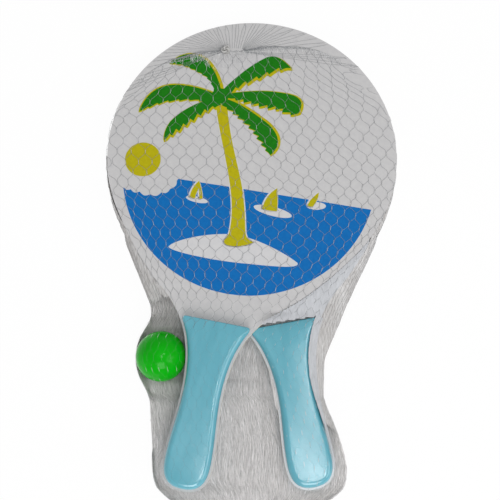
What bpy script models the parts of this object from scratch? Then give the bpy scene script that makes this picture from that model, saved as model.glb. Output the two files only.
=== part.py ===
"""Beach paddle set: two wooden paddles, one laid on the other with splayed handles, and a ball, in a net.

Metres, +Z up. The set lies on its back with the printed faces up and the handles along -Y. The origin is the
middle of the set's footprint on the floor.
"""

import math

import bmesh
import bpy
import numpy as np
from mathutils import Matrix, Vector
from mathutils.geometry import interpolate_bezier
from mathutils.kdtree import KDTree

# The board's outline, in the paddle's own frame: blade centre at the origin, handle towards -Y
BLADE_RADIUS = 0.1200
PADDLE_LENGTH = 0.3944
ROUND_TO_DEG = 35.0          # how far below the blade's widest line its round edge runs
SHOULDER_HALF = 0.0520       # half width where the shoulder turns from swelling to hollow
SHOULDER_DOWN = 0.1220
SHOULDER_SLOPE_DEG = 40.0
NECK_HALF = 0.0163
NECK_DOWN = 0.2000
GRIP_HALF = 0.0193
GRIP_UP_FROM_END = 0.0225

# The board's plies
CORE_PLY = 0.0019
OUTER_PLY = 0.0018
FACE_SHEET = 0.00025
GLUE_LINE = 0.00005

# The grip cheeks
CHEEK_THICK = 0.0070
CHEEK_LENGTH = 0.1287
CHEEK_RIM = 0.0017           # the board that stays bare round a cheek
CHEEK_ROUND = 0.0048         # rounding of a cheek's long edges
CHEEK_CUT_ROUND = 0.0008     # rounding of its square-cut upper edge
CHEEK_CORNER = 0.0048        # radius of the cut's two corners, seen from above
CHEEK_FADE = 0.0140          # length over which the rounding grows from the cut

# How the paddles lie
HANDLES_PART_X = -0.00154    # where the two cheeks that share a layer meet
CHEEKS_APART = 0.0003
BACK_SHIFT_X = -0.0014       # the back blade's centre from the front one's
BACK_SHIFT_Y = 0.0008
LAY_GAP = 0.0003             # gap between pieces that only rest on each other

# The ball
BALL_RADIUS = 0.0200
BALL_WALL = 0.0028
BALL_SEAM = 0.00006
BALL_FROM_HANDLE = 0.0003
BALL_BELOW_CUT = 0.0229      # ball centre below the cheeks' square cuts

# The net sleeve
STRAND = 0.0011
NET_CLEAR = 0.0006           # between a strand and what it wraps
NET_AROUND = 14              # cells round the sleeve
NET_ALONG = 14               # cells along it
LEFT_SIDE = (                # the sleeve's folded sides where they stand off the wood: (distance below the
    (0.0705, -0.1037), (0.1205, -0.0827), (0.1368, -0.0815), (0.1850, -0.0828), (0.2319, -0.0794),
    (0.2549, -0.0773), (0.2625, -0.0755), (0.2700, -0.0660), (0.2768, -0.0549),
)                            # blade centre, X)
RIGHT_SIDE = (
    (0.0705, 0.1013), (0.1205, 0.0779), (0.1530, 0.0634), (0.1659, 0.0583), (0.2008, 0.0569),
    (0.2164, 0.0622), (0.2319, 0.0690), (0.2472, 0.0735), (0.2549, 0.0749), (0.2625, 0.0739),
    (0.2700, 0.0667), (0.2768, 0.0556),
)
SIDE_HEIGHTS = (0.0140, 0.0060)     # of those sides, where they leave the blades and at the handles' ends
BRIDGE_RADIUS = 0.0200       # how tightly the sleeve bends lengthwise into a hollow
WRAP_FROM = 0.0300           # height above the blade centre where the folded-over top begins
FOLD_LEFT_DEG = 148.5        # where the fold meets the rim, left and right
FOLD_RIGHT_DEG = 43.8
KNOT_RADIUS = 0.0045
KNOT_HEIGHT = 0.0036
KNOT_X = -0.0222
KNOT_FROM_RIM = 0.0264       # the knot's distance below the blade's top edge
KNOT_RING = 0.0058           # radius at which the strands meet the knot
NECK_RING = 0.0044           # the sleeve's radius where its lower end is gathered
GATHER_LENGTH = 0.0330       # from the handles' ends to the gathered neck

# How finely the sleeve's surface is worked out
HALF_RING = 200              # places from the left side to the right one
TOP_ROWS = 40                # rows of the folded-over top, some of them on the front face or beside the rim
FACE_ROWS = 16
WALL_ROWS = 3
ROW_STEP = 0.0030            # rows further down
SIDE_BAND = 0.0040           # width of the sleeve's sides
RIM_EVENNESS = 0.5           # 1 spaces the strands evenly along the rim, 0 evenly round the knot
NET_STRAY = 0.00030          # how far a strand's straight run may sink below the surface
NET_SPLITS = 4               # how often a strand's run may be halved to stay on it
JOINT_SHARE = 0.70           # half a joint's width, as a share of the strand's
FRAME_REACH = 0.004          # share of the sleeve over which its directions are taken
FLAT_STRAND = 0.0006         # strand width while the net is laid out flat
SEAM_AT = 0.0217             # where the flat net is cut and closed, as a share of the way round

# The clip and the tail below the net
CLIP_LENGTH = 0.0050
CLIP_WALL = 0.0010
STEM_RADIUS = 0.0026
TAIL_LENGTH = 0.0220
TAIL_END_RADIUS = 0.0060
TAIL_PLUG = 0.0012           # how far the tail reaches up into the net's neck
NECK_HEIGHT = 0.0070

BOARD_HALF = CORE_PLY / 2 + OUTER_PLY + FACE_SHEET + 2 * GLUE_LINE
GRIP_SIDE = BOARD_HALF + GLUE_LINE + CHEEK_THICK     # from the board's middle to a cheek's flat face
CHEEK_DOWN = PADDLE_LENGTH - BLADE_RADIUS - CHEEK_RIM - CHEEK_LENGTH
NET_OFF = STRAND / 2 + NET_CLEAR
FLOOR_LAYER = STRAND + NET_CLEAR + LAY_GAP           # the net and its clearance under the set


def clear_scene():
    for obj in list(bpy.data.objects):
        bpy.data.objects.remove(obj, do_unlink=True)
    for old in list(bpy.data.collections):
        bpy.data.collections.remove(old)
    made = bpy.data.collections.new("beach_paddle_set")
    bpy.context.scene.collection.children.link(made)
    return made


def make_material(name, colour, roughness, metallic=0.0):
    made = bpy.data.materials.new(name)
    made.use_nodes = True
    shader = made.node_tree.nodes["Principled BSDF"]
    shader.inputs["Base Color"].default_value = (*colour, 1.0)
    shader.inputs["Roughness"].default_value = roughness
    shader.inputs["Metallic"].default_value = metallic
    return made


def add_object(name, data, collection, material, parent=None):
    data.materials.append(material)
    obj = bpy.data.objects.new(name, data)
    collection.objects.link(obj)
    obj.parent = parent
    return obj


def half_outline():
    """The board's right-hand edge, from the top of the blade down to the middle of the grip's end."""
    start = math.radians(-ROUND_TO_DEG)
    steps = 26
    points = []
    for i in range(steps + 1):
        angle = math.pi / 2 + (start - math.pi / 2) * i / steps
        points.append(Vector((BLADE_RADIUS * math.cos(angle), BLADE_RADIUS * math.sin(angle))))
    slope = math.radians(SHOULDER_SLOPE_DEG)
    end_y = BLADE_RADIUS - PADDLE_LENGTH
    along_round = Vector((math.sin(start), -math.cos(start)))
    along_slope = Vector((-math.cos(slope), -math.sin(slope)))
    shoulder = Vector((SHOULDER_HALF, -SHOULDER_DOWN))
    neck = Vector((NECK_HALF, -NECK_DOWN))
    grip = Vector((GRIP_HALF, end_y + GRIP_UP_FROM_END))
    end = Vector((0.0, end_y))
    down = Vector((0, -1))
    runs = (
        (points[-1], along_round, 0.34, shoulder, along_slope, 0.34, 6),
        (shoulder, along_slope, 0.18, neck, down, 0.60, 9),
        (neck, down, 0.35, grip, down, 0.35, 5),
        (grip, down, 0.55, end, Vector((-1, 0)), 0.42, 8),
    )
    for first, leave, share_out, last, arrive, share_in, count in runs:
        span = (last - first).length
        knots = (first, first + leave * span * share_out, last - arrive * span * share_in, last)
        points += [Vector((p[0], p[1])) for p in interpolate_bezier(*knots, count + 1)[1:]]
    return points


def closed_outline(inset=0.0):
    """The whole outline, anticlockwise from the top, moved inwards by inset."""
    right = half_outline()
    loop = [Vector((-p.x, p.y)) for p in right] + right[-2:0:-1]
    if not inset:
        return loop
    return [p + n * inset for p, n in zip(loop, inward_normals(loop))]


def inward_normals(loop):
    """Unit normals that point into an anticlockwise loop."""
    normals = []
    for i, here in enumerate(loop):
        before = (here - loop[i - 1]).normalized()
        after = (loop[(i + 1) % len(loop)] - here).normalized()
        along = (before + after).normalized()
        normals.append(Vector((-along.y, along.x)))
    return normals


def cheek_outline():
    """A cheek's outline, anticlockwise, with its square-cut upper edge and two small corners."""
    side = [p for p in closed_outline(CHEEK_RIM) if p.y < -CHEEK_DOWN - CHEEK_CORNER]
    left = [p for p in side if p.x < -1e-6]
    right = [p for p in side if p.x > 1e-6]
    bottom = [p for p in side if abs(p.x) <= 1e-6]
    reach = edge_half_width(CHEEK_DOWN, CHEEK_RIM)
    corner = Vector((reach, -CHEEK_DOWN))
    below = Vector((edge_half_width(CHEEK_DOWN + CHEEK_CORNER, CHEEK_RIM), -CHEEK_DOWN - CHEEK_CORNER))
    turn = []
    for i in range(5):
        t = i / 4
        top = Vector((reach - CHEEK_CORNER, -CHEEK_DOWN))
        turn.append(below * (1 - t) ** 2 + corner * 2 * t * (1 - t) + top * t * t)
    across = [Vector((turn[-1].x * (1 - 2 * i / 6), -CHEEK_DOWN)) for i in range(1, 6)]
    mirrored = [Vector((-p.x, p.y)) for p in reversed(turn)]
    left = [p for p in left if p.y < below.y - CHEEK_CORNER / 2]
    right = [p for p in right if p.y < below.y - CHEEK_CORNER / 2]
    return left + bottom + right + turn + across + mirrored


def edge_half_width(down, inset):
    """Half the width of the inset outline at a distance below the blade centre."""
    edge = [p for p in closed_outline(inset) if p.x > 0 and p.y < 0]
    edge.sort(key=lambda p: p.y)
    return float(np.interp(-down, [p.y for p in edge], [p.x for p in edge]))


def flat_plate(name, loop, thickness, middle, collection, material, parent):
    """A sheet of one outline: a filled 2D curve with an extrusion of half its thickness."""
    curve = bpy.data.curves.new(name, "CURVE")
    curve.dimensions = "2D"
    curve.fill_mode = "BOTH"
    curve.extrude = thickness / 2
    spline = curve.splines.new("POLY")
    spline.points.add(len(loop) - 1)
    for point, place in zip(spline.points, loop):
        point.co = (place.x, place.y, 0, 1)
    spline.use_cyclic_u = True
    obj = add_object(name, curve, collection, material, parent)
    obj.location = (0, 0, middle)
    return obj


def loft(name, rings):
    """A closed mesh with flat ends through equal rings, each anticlockwise seen from the last one's side."""
    shape = bmesh.new()
    made = [[shape.verts.new(p) for p in ring] for ring in rings]
    for lower, upper in zip(made, made[1:]):
        for i in range(len(lower)):
            k = (i + 1) % len(lower)
            shape.faces.new((lower[i], lower[k], upper[k], upper[i]))
    shape.faces.new(list(reversed(made[0])))
    shape.faces.new(made[-1])
    mesh = bpy.data.meshes.new(name)
    shape.to_mesh(mesh)
    shape.free()
    return mesh


def cheek_mesh(name):
    """A grip cheek: flat where it is glued, with rounded long edges that fade out at the square cut."""
    loop = cheek_outline()
    roundings = []
    for p in loop:
        share = min(1.0, max(0.0, (-CHEEK_DOWN - p.y) / CHEEK_FADE))
        eased = share * share * (3 - 2 * share)
        roundings.append(CHEEK_CUT_ROUND + (CHEEK_ROUND - CHEEK_CUT_ROUND) * eased)
    rings = [[Vector((p.x, p.y, 0)) for p in loop]]
    for step in range(4):
        lean = math.pi / 2 * step / 3
        ring = []
        for p, inward, r in zip(loop, inward_normals(loop), roundings):
            moved = p + inward * r * (1 - math.cos(lean))
            ring.append(Vector((moved.x, moved.y, CHEEK_THICK - r * (1 - math.sin(lean)))))
        rings.append(ring)
    mesh = loft(name, rings)
    mesh.shade_smooth()
    mesh.set_sharp_from_angle(angle=math.radians(40))
    return mesh


def add_paddle(prefix, place, collection, finishes):
    """One paddle: three plies, two face sheets and two cheeks, hung on an empty that carries its place."""
    carrier = bpy.data.objects.new(prefix + "_carrier", None)
    collection.objects.link(carrier)
    carrier.matrix_world = place
    outline = closed_outline()
    ply_middle = CORE_PLY / 2 + GLUE_LINE + OUTER_PLY / 2
    sheet_middle = BOARD_HALF - FACE_SHEET / 2
    plates = (
        ("core_ply", CORE_PLY, 0.0, "core_wood"),
        ("front_veneer", OUTER_PLY, ply_middle, "veneer_wood"),
        ("back_veneer", OUTER_PLY, -ply_middle, "veneer_wood"),
        ("front_face_sheet", FACE_SHEET, sheet_middle, "white_print"),
        ("back_face_sheet", FACE_SHEET, -sheet_middle, "white_print"),
    )
    for name, thickness, middle, finish in plates:
        flat_plate(f"{prefix}_{name}", outline, thickness, middle, collection, finishes[finish], carrier)
    for name, side in (("front_cheek", 1), ("back_cheek", -1)):
        mesh = cheek_mesh(f"{prefix}_{name}")
        cheek = add_object(mesh.name, mesh, collection, finishes["blue_lacquer"], carrier)
        cheek.location = (0, 0, side * (BOARD_HALF + GLUE_LINE))
        cheek.rotation_euler = (0, 0 if side > 0 else math.pi, 0)
    return carrier


def turned(name, profile, steps, collection, material):
    """A Screw round Z from a profile of (radius, height) that runs down its outer side."""
    mesh = bpy.data.meshes.new(name)
    mesh.from_pydata([(r, 0, z) for r, z in profile], [(i, i + 1) for i in range(len(profile) - 1)], [])
    obj = add_object(name, mesh, collection, material)
    screw = obj.modifiers.new("turn", "SCREW")
    screw.axis = "Z"
    screw.steps = screw.render_steps = steps
    screw.use_merge_vertices = True
    screw.merge_threshold = 0.00001
    screw.use_smooth_shade = True
    return obj


def half_ball_profile():
    """The upper half shell, from its pole down the outside and back up the inside."""
    inner = BALL_RADIUS - BALL_WALL
    rise = math.asin(BALL_SEAM / 2 / BALL_RADIUS)
    lift = math.asin(BALL_SEAM / 2 / inner)
    outside = [math.pi / 2 + (rise - math.pi / 2) * i / 8 for i in range(9)]
    inside = [lift + (math.pi / 2 - lift) * i / 5 for i in range(6)]
    profile = [(BALL_RADIUS * math.cos(a), BALL_RADIUS * math.sin(a)) for a in outside]
    profile += [(inner * math.cos(a), inner * math.sin(a)) for a in inside]
    profile[0] = (0.0, BALL_RADIUS)
    profile[-1] = (0.0, inner)
    return profile


def knot_profile():
    """The knot's lump, from its top down the side to its flat underside."""
    round_over = [math.radians(90 - 15 * i) for i in range(7)]
    bulge = KNOT_HEIGHT * 0.5
    flat = KNOT_RADIUS - bulge
    profile = [(0.0, LAY_GAP + KNOT_HEIGHT)]
    profile += [(flat + bulge * math.cos(a), LAY_GAP + bulge + bulge * math.sin(a)) for a in round_over]
    profile += [(flat + bulge * 0.8, LAY_GAP), (0.0, LAY_GAP)]
    return profile


def tail_profile():
    """The gathered tail, from its spread end through the clip to its net end."""
    inside = NECK_RING - STRAND / 2 - LAY_GAP
    return [
        (0.0, TAIL_LENGTH), (TAIL_END_RADIUS, TAIL_LENGTH), (TAIL_END_RADIUS * 0.72, 0.0110 + CLIP_LENGTH),
        (STEM_RADIUS * 1.25, 0.0062 + CLIP_LENGTH), (STEM_RADIUS, 0.0046 + CLIP_LENGTH),
        (STEM_RADIUS, 0.0042), (inside * 0.86, 0.0022), (inside, 0.0), (inside, -TAIL_PLUG),
        (0.0, -TAIL_PLUG),
    ]


def clip_profile():
    """The clip, a band closed round the stem, with rounded edges."""
    inner, outer = STEM_RADIUS + LAY_GAP, STEM_RADIUS + LAY_GAP + CLIP_WALL
    low, high, ease = 0.0044, 0.0044 + CLIP_LENGTH, CLIP_WALL * 0.3
    return [
        (outer, high - ease), (outer, low + ease), (outer - ease, low), (inner + ease, low),
        (inner, low + ease), (inner, high - ease), (inner + ease, high), (outer - ease, high),
        (outer, high - ease),
    ]


def splay(shift, side):
    """The angle at which a paddle's cheek comes up to the line between the handles and not over it. side is
    -1 for the handle on the left of that line and 1 for the one on its right."""
    low, high = 0.0, math.radians(40)
    edge = cheek_outline()
    room = shift - HANDLES_PART_X
    for _ in range(30):
        angle = (low + high) / 2
        nearest = min(-p.y * math.sin(angle) + side * p.x * math.cos(angle) for p in edge)
        if nearest + side * room < CHEEKS_APART / 2:
            low = angle
        else:
            high = angle
    return high


def paddle_places():
    """World matrices of the two paddles. The back one lies on its cheek and its blade's top edge, and the
    front one on the back one's cheek and blade."""
    lean = math.asin((GRIP_SIDE - BOARD_HALF) / (BLADE_RADIUS + CHEEK_DOWN))
    back_rise = BLADE_RADIUS * math.sin(lean)
    front_rise = BLADE_RADIUS * math.sin(2 * lean)
    back_height = FLOOR_LAYER + BOARD_HALF + back_rise
    front_height = back_height + 2 * BOARD_HALF + 2 * LAY_GAP + front_rise - back_rise
    front = Matrix.Translation((0, 0, front_height)) @ Matrix.Rotation(-2 * lean, 4, "X")
    front = front @ Matrix.Rotation(-splay(0, -1), 4, "Z")
    back = Matrix.Translation((BACK_SHIFT_X, BACK_SHIFT_Y, back_height)) @ Matrix.Rotation(-lean, 4, "X")
    back = back @ Matrix.Rotation(splay(BACK_SHIFT_X, 1), 4, "Z")
    return front, back


def ball_place(front):
    """The ball's centre: on the net on the floor, against the front paddle's left edge."""
    height = FLOOR_LAYER + BALL_RADIUS
    edges = [front @ Vector((p.x, p.y, z)) for p in closed_outline() for z in (-BOARD_HALF, 0, BOARD_HALF)]
    edges += [front @ Vector((p.x, p.y, -BOARD_HALF - CHEEK_THICK)) for p in cheek_outline()]
    x = min(p.x for p in edges)
    y = -CHEEK_DOWN - BALL_BELOW_CUT
    step = 0.0001
    while x < 0 and min((Vector((x, y, height)) - p).length for p in edges) > BALL_RADIUS + BALL_FROM_HANDLE:
        x += step
    return Vector((x - step, y, height))


def wrapped_points(front, back, ball):
    """Points on all that the sleeve wraps, and on its two folded sides that stand off the wood."""
    outline, cheek = closely(closed_outline()), closely(cheek_outline())
    points = []
    for place in (front, back):
        for side in (-1, 1):
            points += [place @ Vector((p.x, p.y, side * BOARD_HALF)) for p in outline]
            points += [place @ Vector((p.x, p.y, side * GRIP_SIDE)) for p in cheek]
    for side in (LEFT_SIDE, RIGHT_SIDE):
        reach = side[-1][0] - side[0][0]
        for here, after in zip(side, side[1:]):
            parts = math.ceil((after[0] - here[0]) / ROW_STEP)
            for i in range(parts + 1):
                down, x = Vector(here).lerp(Vector(after), i / parts)
                share = (down - side[0][0]) / reach
                points.append(Vector((x, -down, SIDE_HEIGHTS[0] * (1 - share) + SIDE_HEIGHTS[1] * share)))
    for i in range(13):
        for k in range(24):
            up, round_by = math.pi * (i / 12 - 0.5), math.tau * k / 24
            flat = Vector((math.cos(round_by), math.sin(round_by), 0)) * math.cos(up)
            points.append(ball + (flat + Vector((0, 0, math.sin(up)))) * BALL_RADIUS)
    return np.array(points)


def closely(loop):
    """A loop's places with more put between them, none further apart than ROW_STEP."""
    filled = []
    for here, after in zip(loop, loop[1:] + loop[:1]):
        parts = math.ceil((after - here).length / ROW_STEP)
        filled += [here.lerp(after, i / parts) for i in range(parts)]
    return filled


def cross_section(points, y, count):
    """The sleeve's ring at y, the points' hull in XZ: count + 1 places from the left side over the top to the
    right side, and as many from the left side underneath to the right."""
    tilts = (0, 22, 45, 62, 74, 82, 87, 90)
    angles = [math.radians(a) for a in tilts] + [math.pi - math.radians(a) for a in tilts[-2::-1]]
    angles += [-a for a in angles[1:-1]]
    ring = [Vector((-1, -1)), Vector((1, -1)), Vector((1, 1)), Vector((-1, 1))]
    sag = (y - points[:, 1]) ** 2 / (2 * BRIDGE_RADIUS)
    for a in angles:
        facing = Vector((math.cos(a), math.sin(a)))
        reach = float((points[:, 0] * facing.x + points[:, 2] * facing.y - sag).max()) + NET_OFF
        kept = []
        for here, after in zip(ring, ring[1:] + ring[:1]):
            over_here, over_after = here.dot(facing) - reach, after.dot(facing) - reach
            if over_here <= 0:
                kept.append(here)
            if over_here * over_after < 0:
                kept.append(here + (after - here) * over_here / (over_here - over_after))
        ring = kept
    left, right = min(p.x for p in ring), max(p.x for p in ring)
    level = (min(p.y for p in ring) + max(p.y for p in ring)) / 2
    ends = []
    for x in (left, right):
        at_side = sorted(p.y for p in ring if abs(p.x - x) < 1e-5)
        ends.append(Vector((x, min(max(level, at_side[0]), at_side[-1]))))
    start, stop = ends
    chord = stop - start
    upper = [p for p in ring if chord.cross(p - start) > 1e-9]
    lower = [p for p in ring if chord.cross(p - start) < -1e-9]
    upper.sort(key=lambda p: (p.x, p.y if p.x < (left + right) / 2 else -p.y))
    lower.sort(key=lambda p: (p.x, -p.y if p.x < (left + right) / 2 else p.y))
    over = spread([start, *upper, stop], count)
    under = spread([start, *lower, stop], count)
    return over, under


def spread(path, count):
    """count + 1 places at even distances along a path."""
    path = np.array([tuple(p) for p in path])
    walked = np.concatenate([[0], np.cumsum(np.linalg.norm(np.diff(path, axis=0), axis=1))])
    even = np.linspace(0, walked[-1], count + 1)
    return np.stack([np.interp(even, walked, path[:, c]) for c in range(path.shape[1])], axis=1)


def height_on(place, local_height, x, y):
    """World height at x, y of one of a paddle's planes that lie parallel to its faces."""
    facing = place.to_3x3() @ Vector((0, 0, 1))
    at = place @ Vector((0, 0, local_height))
    return at.z - (facing.x * (x - at.x) + facing.y * (y - at.y)) / facing.z


def rim_spot(front, back, angle, share):
    """A place on the sleeve beside the blades' rim: share 0 is level with the front face, 1 with the back."""
    toward = Vector((math.cos(angle), math.sin(angle)))
    shifted = BACK_SHIFT_X * toward.x + BACK_SHIFT_Y * toward.y
    x, y = toward * (BLADE_RADIUS + NET_OFF + max(0.0, shifted))
    top = height_on(front, BOARD_HALF, x, y) + NET_OFF
    bottom = height_on(back, -BOARD_HALF, x, y) - NET_OFF
    return Vector((x, y, top + (bottom - top) * share))


def bend(start, leave, end, arrive, share):
    """A place on the curve from start to end that leaves and arrives along the two given directions."""
    span = (end - start).length
    s2, s3 = share * share, share ** 3
    return (start * (2 * s3 - 3 * s2 + 1) + leave * span * (s3 - 2 * s2 + share)
            + end * (3 * s2 - 2 * s3) + arrive * span * (s3 - s2))


def rim_angle(knot, direction):
    """The angle, seen from the blade's centre, at which a straight line from the knot meets the rim."""
    toward = Vector((math.cos(direction), math.sin(direction)))
    ahead = knot.xy.dot(toward)
    hit = knot.xy + toward * (math.sqrt(ahead * ahead + BLADE_RADIUS ** 2 - knot.xy.length_squared) - ahead)
    return math.atan2(hit.y, hit.x)


def face_column(front, knot, leave, target):
    """From the knot over the front face down to the ring where the plain wrapping begins."""
    start = knot.xy + leave * KNOT_RING
    rise = target.z - height_on(front, BOARD_HALF, target.x, target.y) - NET_OFF
    column = []
    for i in range(TOP_ROWS + 1):
        spot = bend(start, leave, target.xy, Vector((0, -1)), i / TOP_ROWS)
        if spot.length > BLADE_RADIUS:
            spot = spot.normalized() * BLADE_RADIUS
        column.append((spot.x, spot.y, height_on(front, BOARD_HALF, *spot) + NET_OFF + rise * i / TOP_ROWS))
    return column


def over_column(front, back, knot, angle, level, target):
    """From the knot to the rim at an angle and down its side to a level. From there it runs round the rim, or
    over the back face where the level is that face's."""
    corner = rim_spot(front, back, angle, 0)
    below = rim_spot(front, back, angle, level)
    leave = (corner.xy - knot.xy).normalized()
    start = knot.xy + leave * KNOT_RING
    column = []
    for i in range(FACE_ROWS):
        spot = start.lerp(corner.xy, i / FACE_ROWS)
        column.append((spot.x, spot.y, height_on(front, BOARD_HALF, *spot) + NET_OFF))
    for i in range(WALL_ROWS):
        column.append(tuple(corner.lerp(below, i / WALL_ROWS)))
    rest = TOP_ROWS - FACE_ROWS - WALL_ROWS
    outward = corner.xy.normalized()
    turned_back = leave - outward * 2 * leave.dot(outward)
    stop = math.atan2(target.y, target.x)
    drop = height_on(back, -BOARD_HALF, target.x, target.y) - NET_OFF - target.z
    for i in range(rest + 1):
        share = i / rest
        if level < 1:
            angle_here = angle + (stop - angle) * share
            spot = rim_spot(front, back, angle_here, level)
            reach = spot.xy.length * (1 - share) + target.xy.length * share
            spot = Vector((reach * math.cos(angle_here), reach * math.sin(angle_here), spot.z))
            column.append(tuple(spot.lerp(target, share ** 3)))
        else:
            flat = bend(corner.xy, turned_back, target.xy, Vector((0, -1)), share)
            height = height_on(back, -BOARD_HALF, *flat) - NET_OFF - drop * share
            column.append((flat.x, flat.y, height))
    return column


def sleeve_surface(front, back, ball, knot):
    """The sleeve as rows of places from the knot to the gathered neck. Each row starts at the left side and
    runs over the front to the right side and back underneath."""
    points = wrapped_points(front, back, ball)

    def ring_at(y):
        over, under = cross_section(points, y, HALF_RING)
        return [Vector((x, y, z)) for x, z in [*over, *under[-2:0:-1]]]

    first = ring_at(WRAP_FROM)
    left, right = first[0].x, first[HALF_RING].x
    fold_left, fold_right = math.radians(FOLD_LEFT_DEG), math.radians(FOLD_RIGHT_DEG)
    fold_turn = fold_right - fold_left
    to_left = (rim_spot(front, back, fold_left, 0).xy - knot.xy).normalized()
    to_right = (rim_spot(front, back, fold_right, 0).xy - knot.xy).normalized()
    from_angle = math.atan2(to_left.y, to_left.x) % math.tau
    to_angle = math.atan2(to_right.y, to_right.x) % math.tau
    columns = []
    for j, target in enumerate(first):
        across = j / HALF_RING if j <= HALF_RING else 2 - j / HALF_RING
        top = height_on(front, BOARD_HALF, target.x, target.y) + NET_OFF
        bottom = height_on(back, -BOARD_HALF, target.x, target.y) - NET_OFF
        level = min(0.98, max(0.02, (top - target.z) / (top - bottom)))
        beyond = across * fold_turn if across < 0.5 else (across - 1) * fold_turn
        if j > HALF_RING:
            beyond = -beyond
        if target.x < left + SIDE_BAND:
            columns.append(over_column(front, back, knot, fold_left - beyond, level, target))
        elif target.x > right - SIDE_BAND:
            columns.append(over_column(front, back, knot, fold_right - beyond, level, target))
        elif j < HALF_RING:
            angle = from_angle + (to_angle - from_angle) * across
            columns.append(face_column(front, knot, Vector((math.cos(angle), math.sin(angle))), target))
        else:
            even = fold_left + fold_turn * across
            swept = math.atan2(to_left.y, to_left.x) % math.tau
            swept += (math.atan2(to_right.y, to_right.x) - swept) * across
            angle = even * RIM_EVENNESS + rim_angle(knot, swept) * (1 - RIM_EVENNESS)
            columns.append(over_column(front, back, knot, angle, 1, target))
    rows = list(np.array(columns).transpose(1, 0, 2))
    end_y = BLADE_RADIUS - PADDLE_LENGTH - ROW_STEP
    count = round((WRAP_FROM - end_y) / ROW_STEP)
    for i in range(1, count + 1):
        rows.append(np.array([tuple(p) for p in ring_at(WRAP_FROM + (end_y - WRAP_FROM) * i / count)]))
    last = rows[-1]
    turn = math.pi - math.pi * np.arange(2 * HALF_RING) / HALF_RING
    neck_y = BLADE_RADIUS - PADDLE_LENGTH - GATHER_LENGTH
    neck_x, neck_z = NECK_RING * np.cos(turn), NECK_HEIGHT + NECK_RING * np.sin(turn)
    neck = np.stack([neck_x, np.full_like(turn, neck_y), neck_z], 1)
    count = round((end_y - neck_y) / ROW_STEP)
    for i in range(1, count + 1):
        share = i / count
        eased = share * (2 - share) * 0.5 + share * share * (3 - 2 * share) * 0.5
        row = last + (neck - last) * eased
        row[:, 1] = end_y + (neck_y - end_y) * share
        rows.append(row)
    return np.array(rows)


def on_sleeve(surface, around, along):
    """The sleeve's surface at a share of the way round it and a share of the way along it."""
    rows, ring = surface.shape[:2]
    r, c = along * (rows - 1), (around % 1.0) * ring
    r0, c0 = min(int(r), rows - 2), int(c) % ring
    fr, fc = r - r0, c - int(c)
    c1 = (c0 + 1) % ring
    upper = surface[r0, c0] * (1 - fc) + surface[r0, c1] * fc
    lower = surface[r0 + 1, c0] * (1 - fc) + surface[r0 + 1, c1] * fc
    return Vector(upper * (1 - fr) + lower * fr)


def split_to_surface(edge, surface, depth):
    """Puts a vertex where a strand's straight run would sink furthest below the sleeve's surface, and again
    in both parts. The flat net's x and y are the shares of the way round and along."""
    first, last = edge.verts
    start, stop = (on_sleeve(surface, v.co.x, v.co.y) for v in edge.verts)
    along = stop - start
    best, deepest = None, NET_STRAY
    for i in range(1, 40):
        if min(i, 40 - i) / 40 * along.length < STRAND * 0.8:
            continue
        flat = first.co.lerp(last.co, i / 40)
        place = on_sleeve(surface, flat.x, flat.y)
        offset = place - start
        nearest = along * max(0.0, min(1.0, offset.dot(along) / along.length_squared))
        sunk = (offset - nearest).dot(frame_on(surface, flat.x, flat.y)[2])
        if sunk > deepest:
            best, deepest = i / 40, sunk
    if best is None or depth == 0:
        return
    new_edge, new_vert = bmesh.utils.edge_split(edge, first, best)
    for part in (edge, new_edge):
        split_to_surface(part, surface, depth - 1)


def frame_on(surface, around, along):
    """The directions round and along the sleeve at a place on it, and its outward normal."""
    reach = FRAME_REACH
    round_by = on_sleeve(surface, around + reach, along) - on_sleeve(surface, around - reach, along)
    after, before = min(1, along + reach), max(0, along - reach)
    onward = on_sleeve(surface, around, after) - on_sleeve(surface, around, before)
    facing = onward.cross(round_by).normalized()
    return round_by.normalized(), onward.normalized(), facing


def flat_net(surface):
    """The net laid out flat: diamonds from a poked grid without its first edges, its strands as a thin wire
    frame. It is four cells longer than one turn of the sleeve."""
    shape = bmesh.new()
    is_middle = shape.verts.layers.int.new("middle")
    turn = 1 / NET_AROUND
    bmesh.ops.create_grid(shape, x_segments=NET_AROUND + 4, y_segments=NET_ALONG, size=0.5)
    for vert in shape.verts:
        vert.co = ((vert.co.x + 0.5) * (1 + 4 * turn) - 2 * turn, vert.co.y + 0.5, 0)
    first_edges = [e for e in shape.edges if len(e.link_faces) == 2]
    for vert in bmesh.ops.poke(shape, faces=shape.faces[:])["verts"]:
        vert[is_middle] = 1
    bmesh.ops.dissolve_edges(shape, edges=first_edges, use_verts=False)
    for edge in shape.edges[:]:
        split_to_surface(edge, surface, NET_SPLITS)
    parents = [(v.co.copy(), [e.other_vert(v).co.copy() for e in v.link_edges]) for v in shape.verts]
    bmesh.ops.wireframe(
        shape, faces=shape.faces[:], thickness=FLAT_STRAND, offset=0, use_replace=True, use_boundary=True)
    return shape, parents


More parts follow.
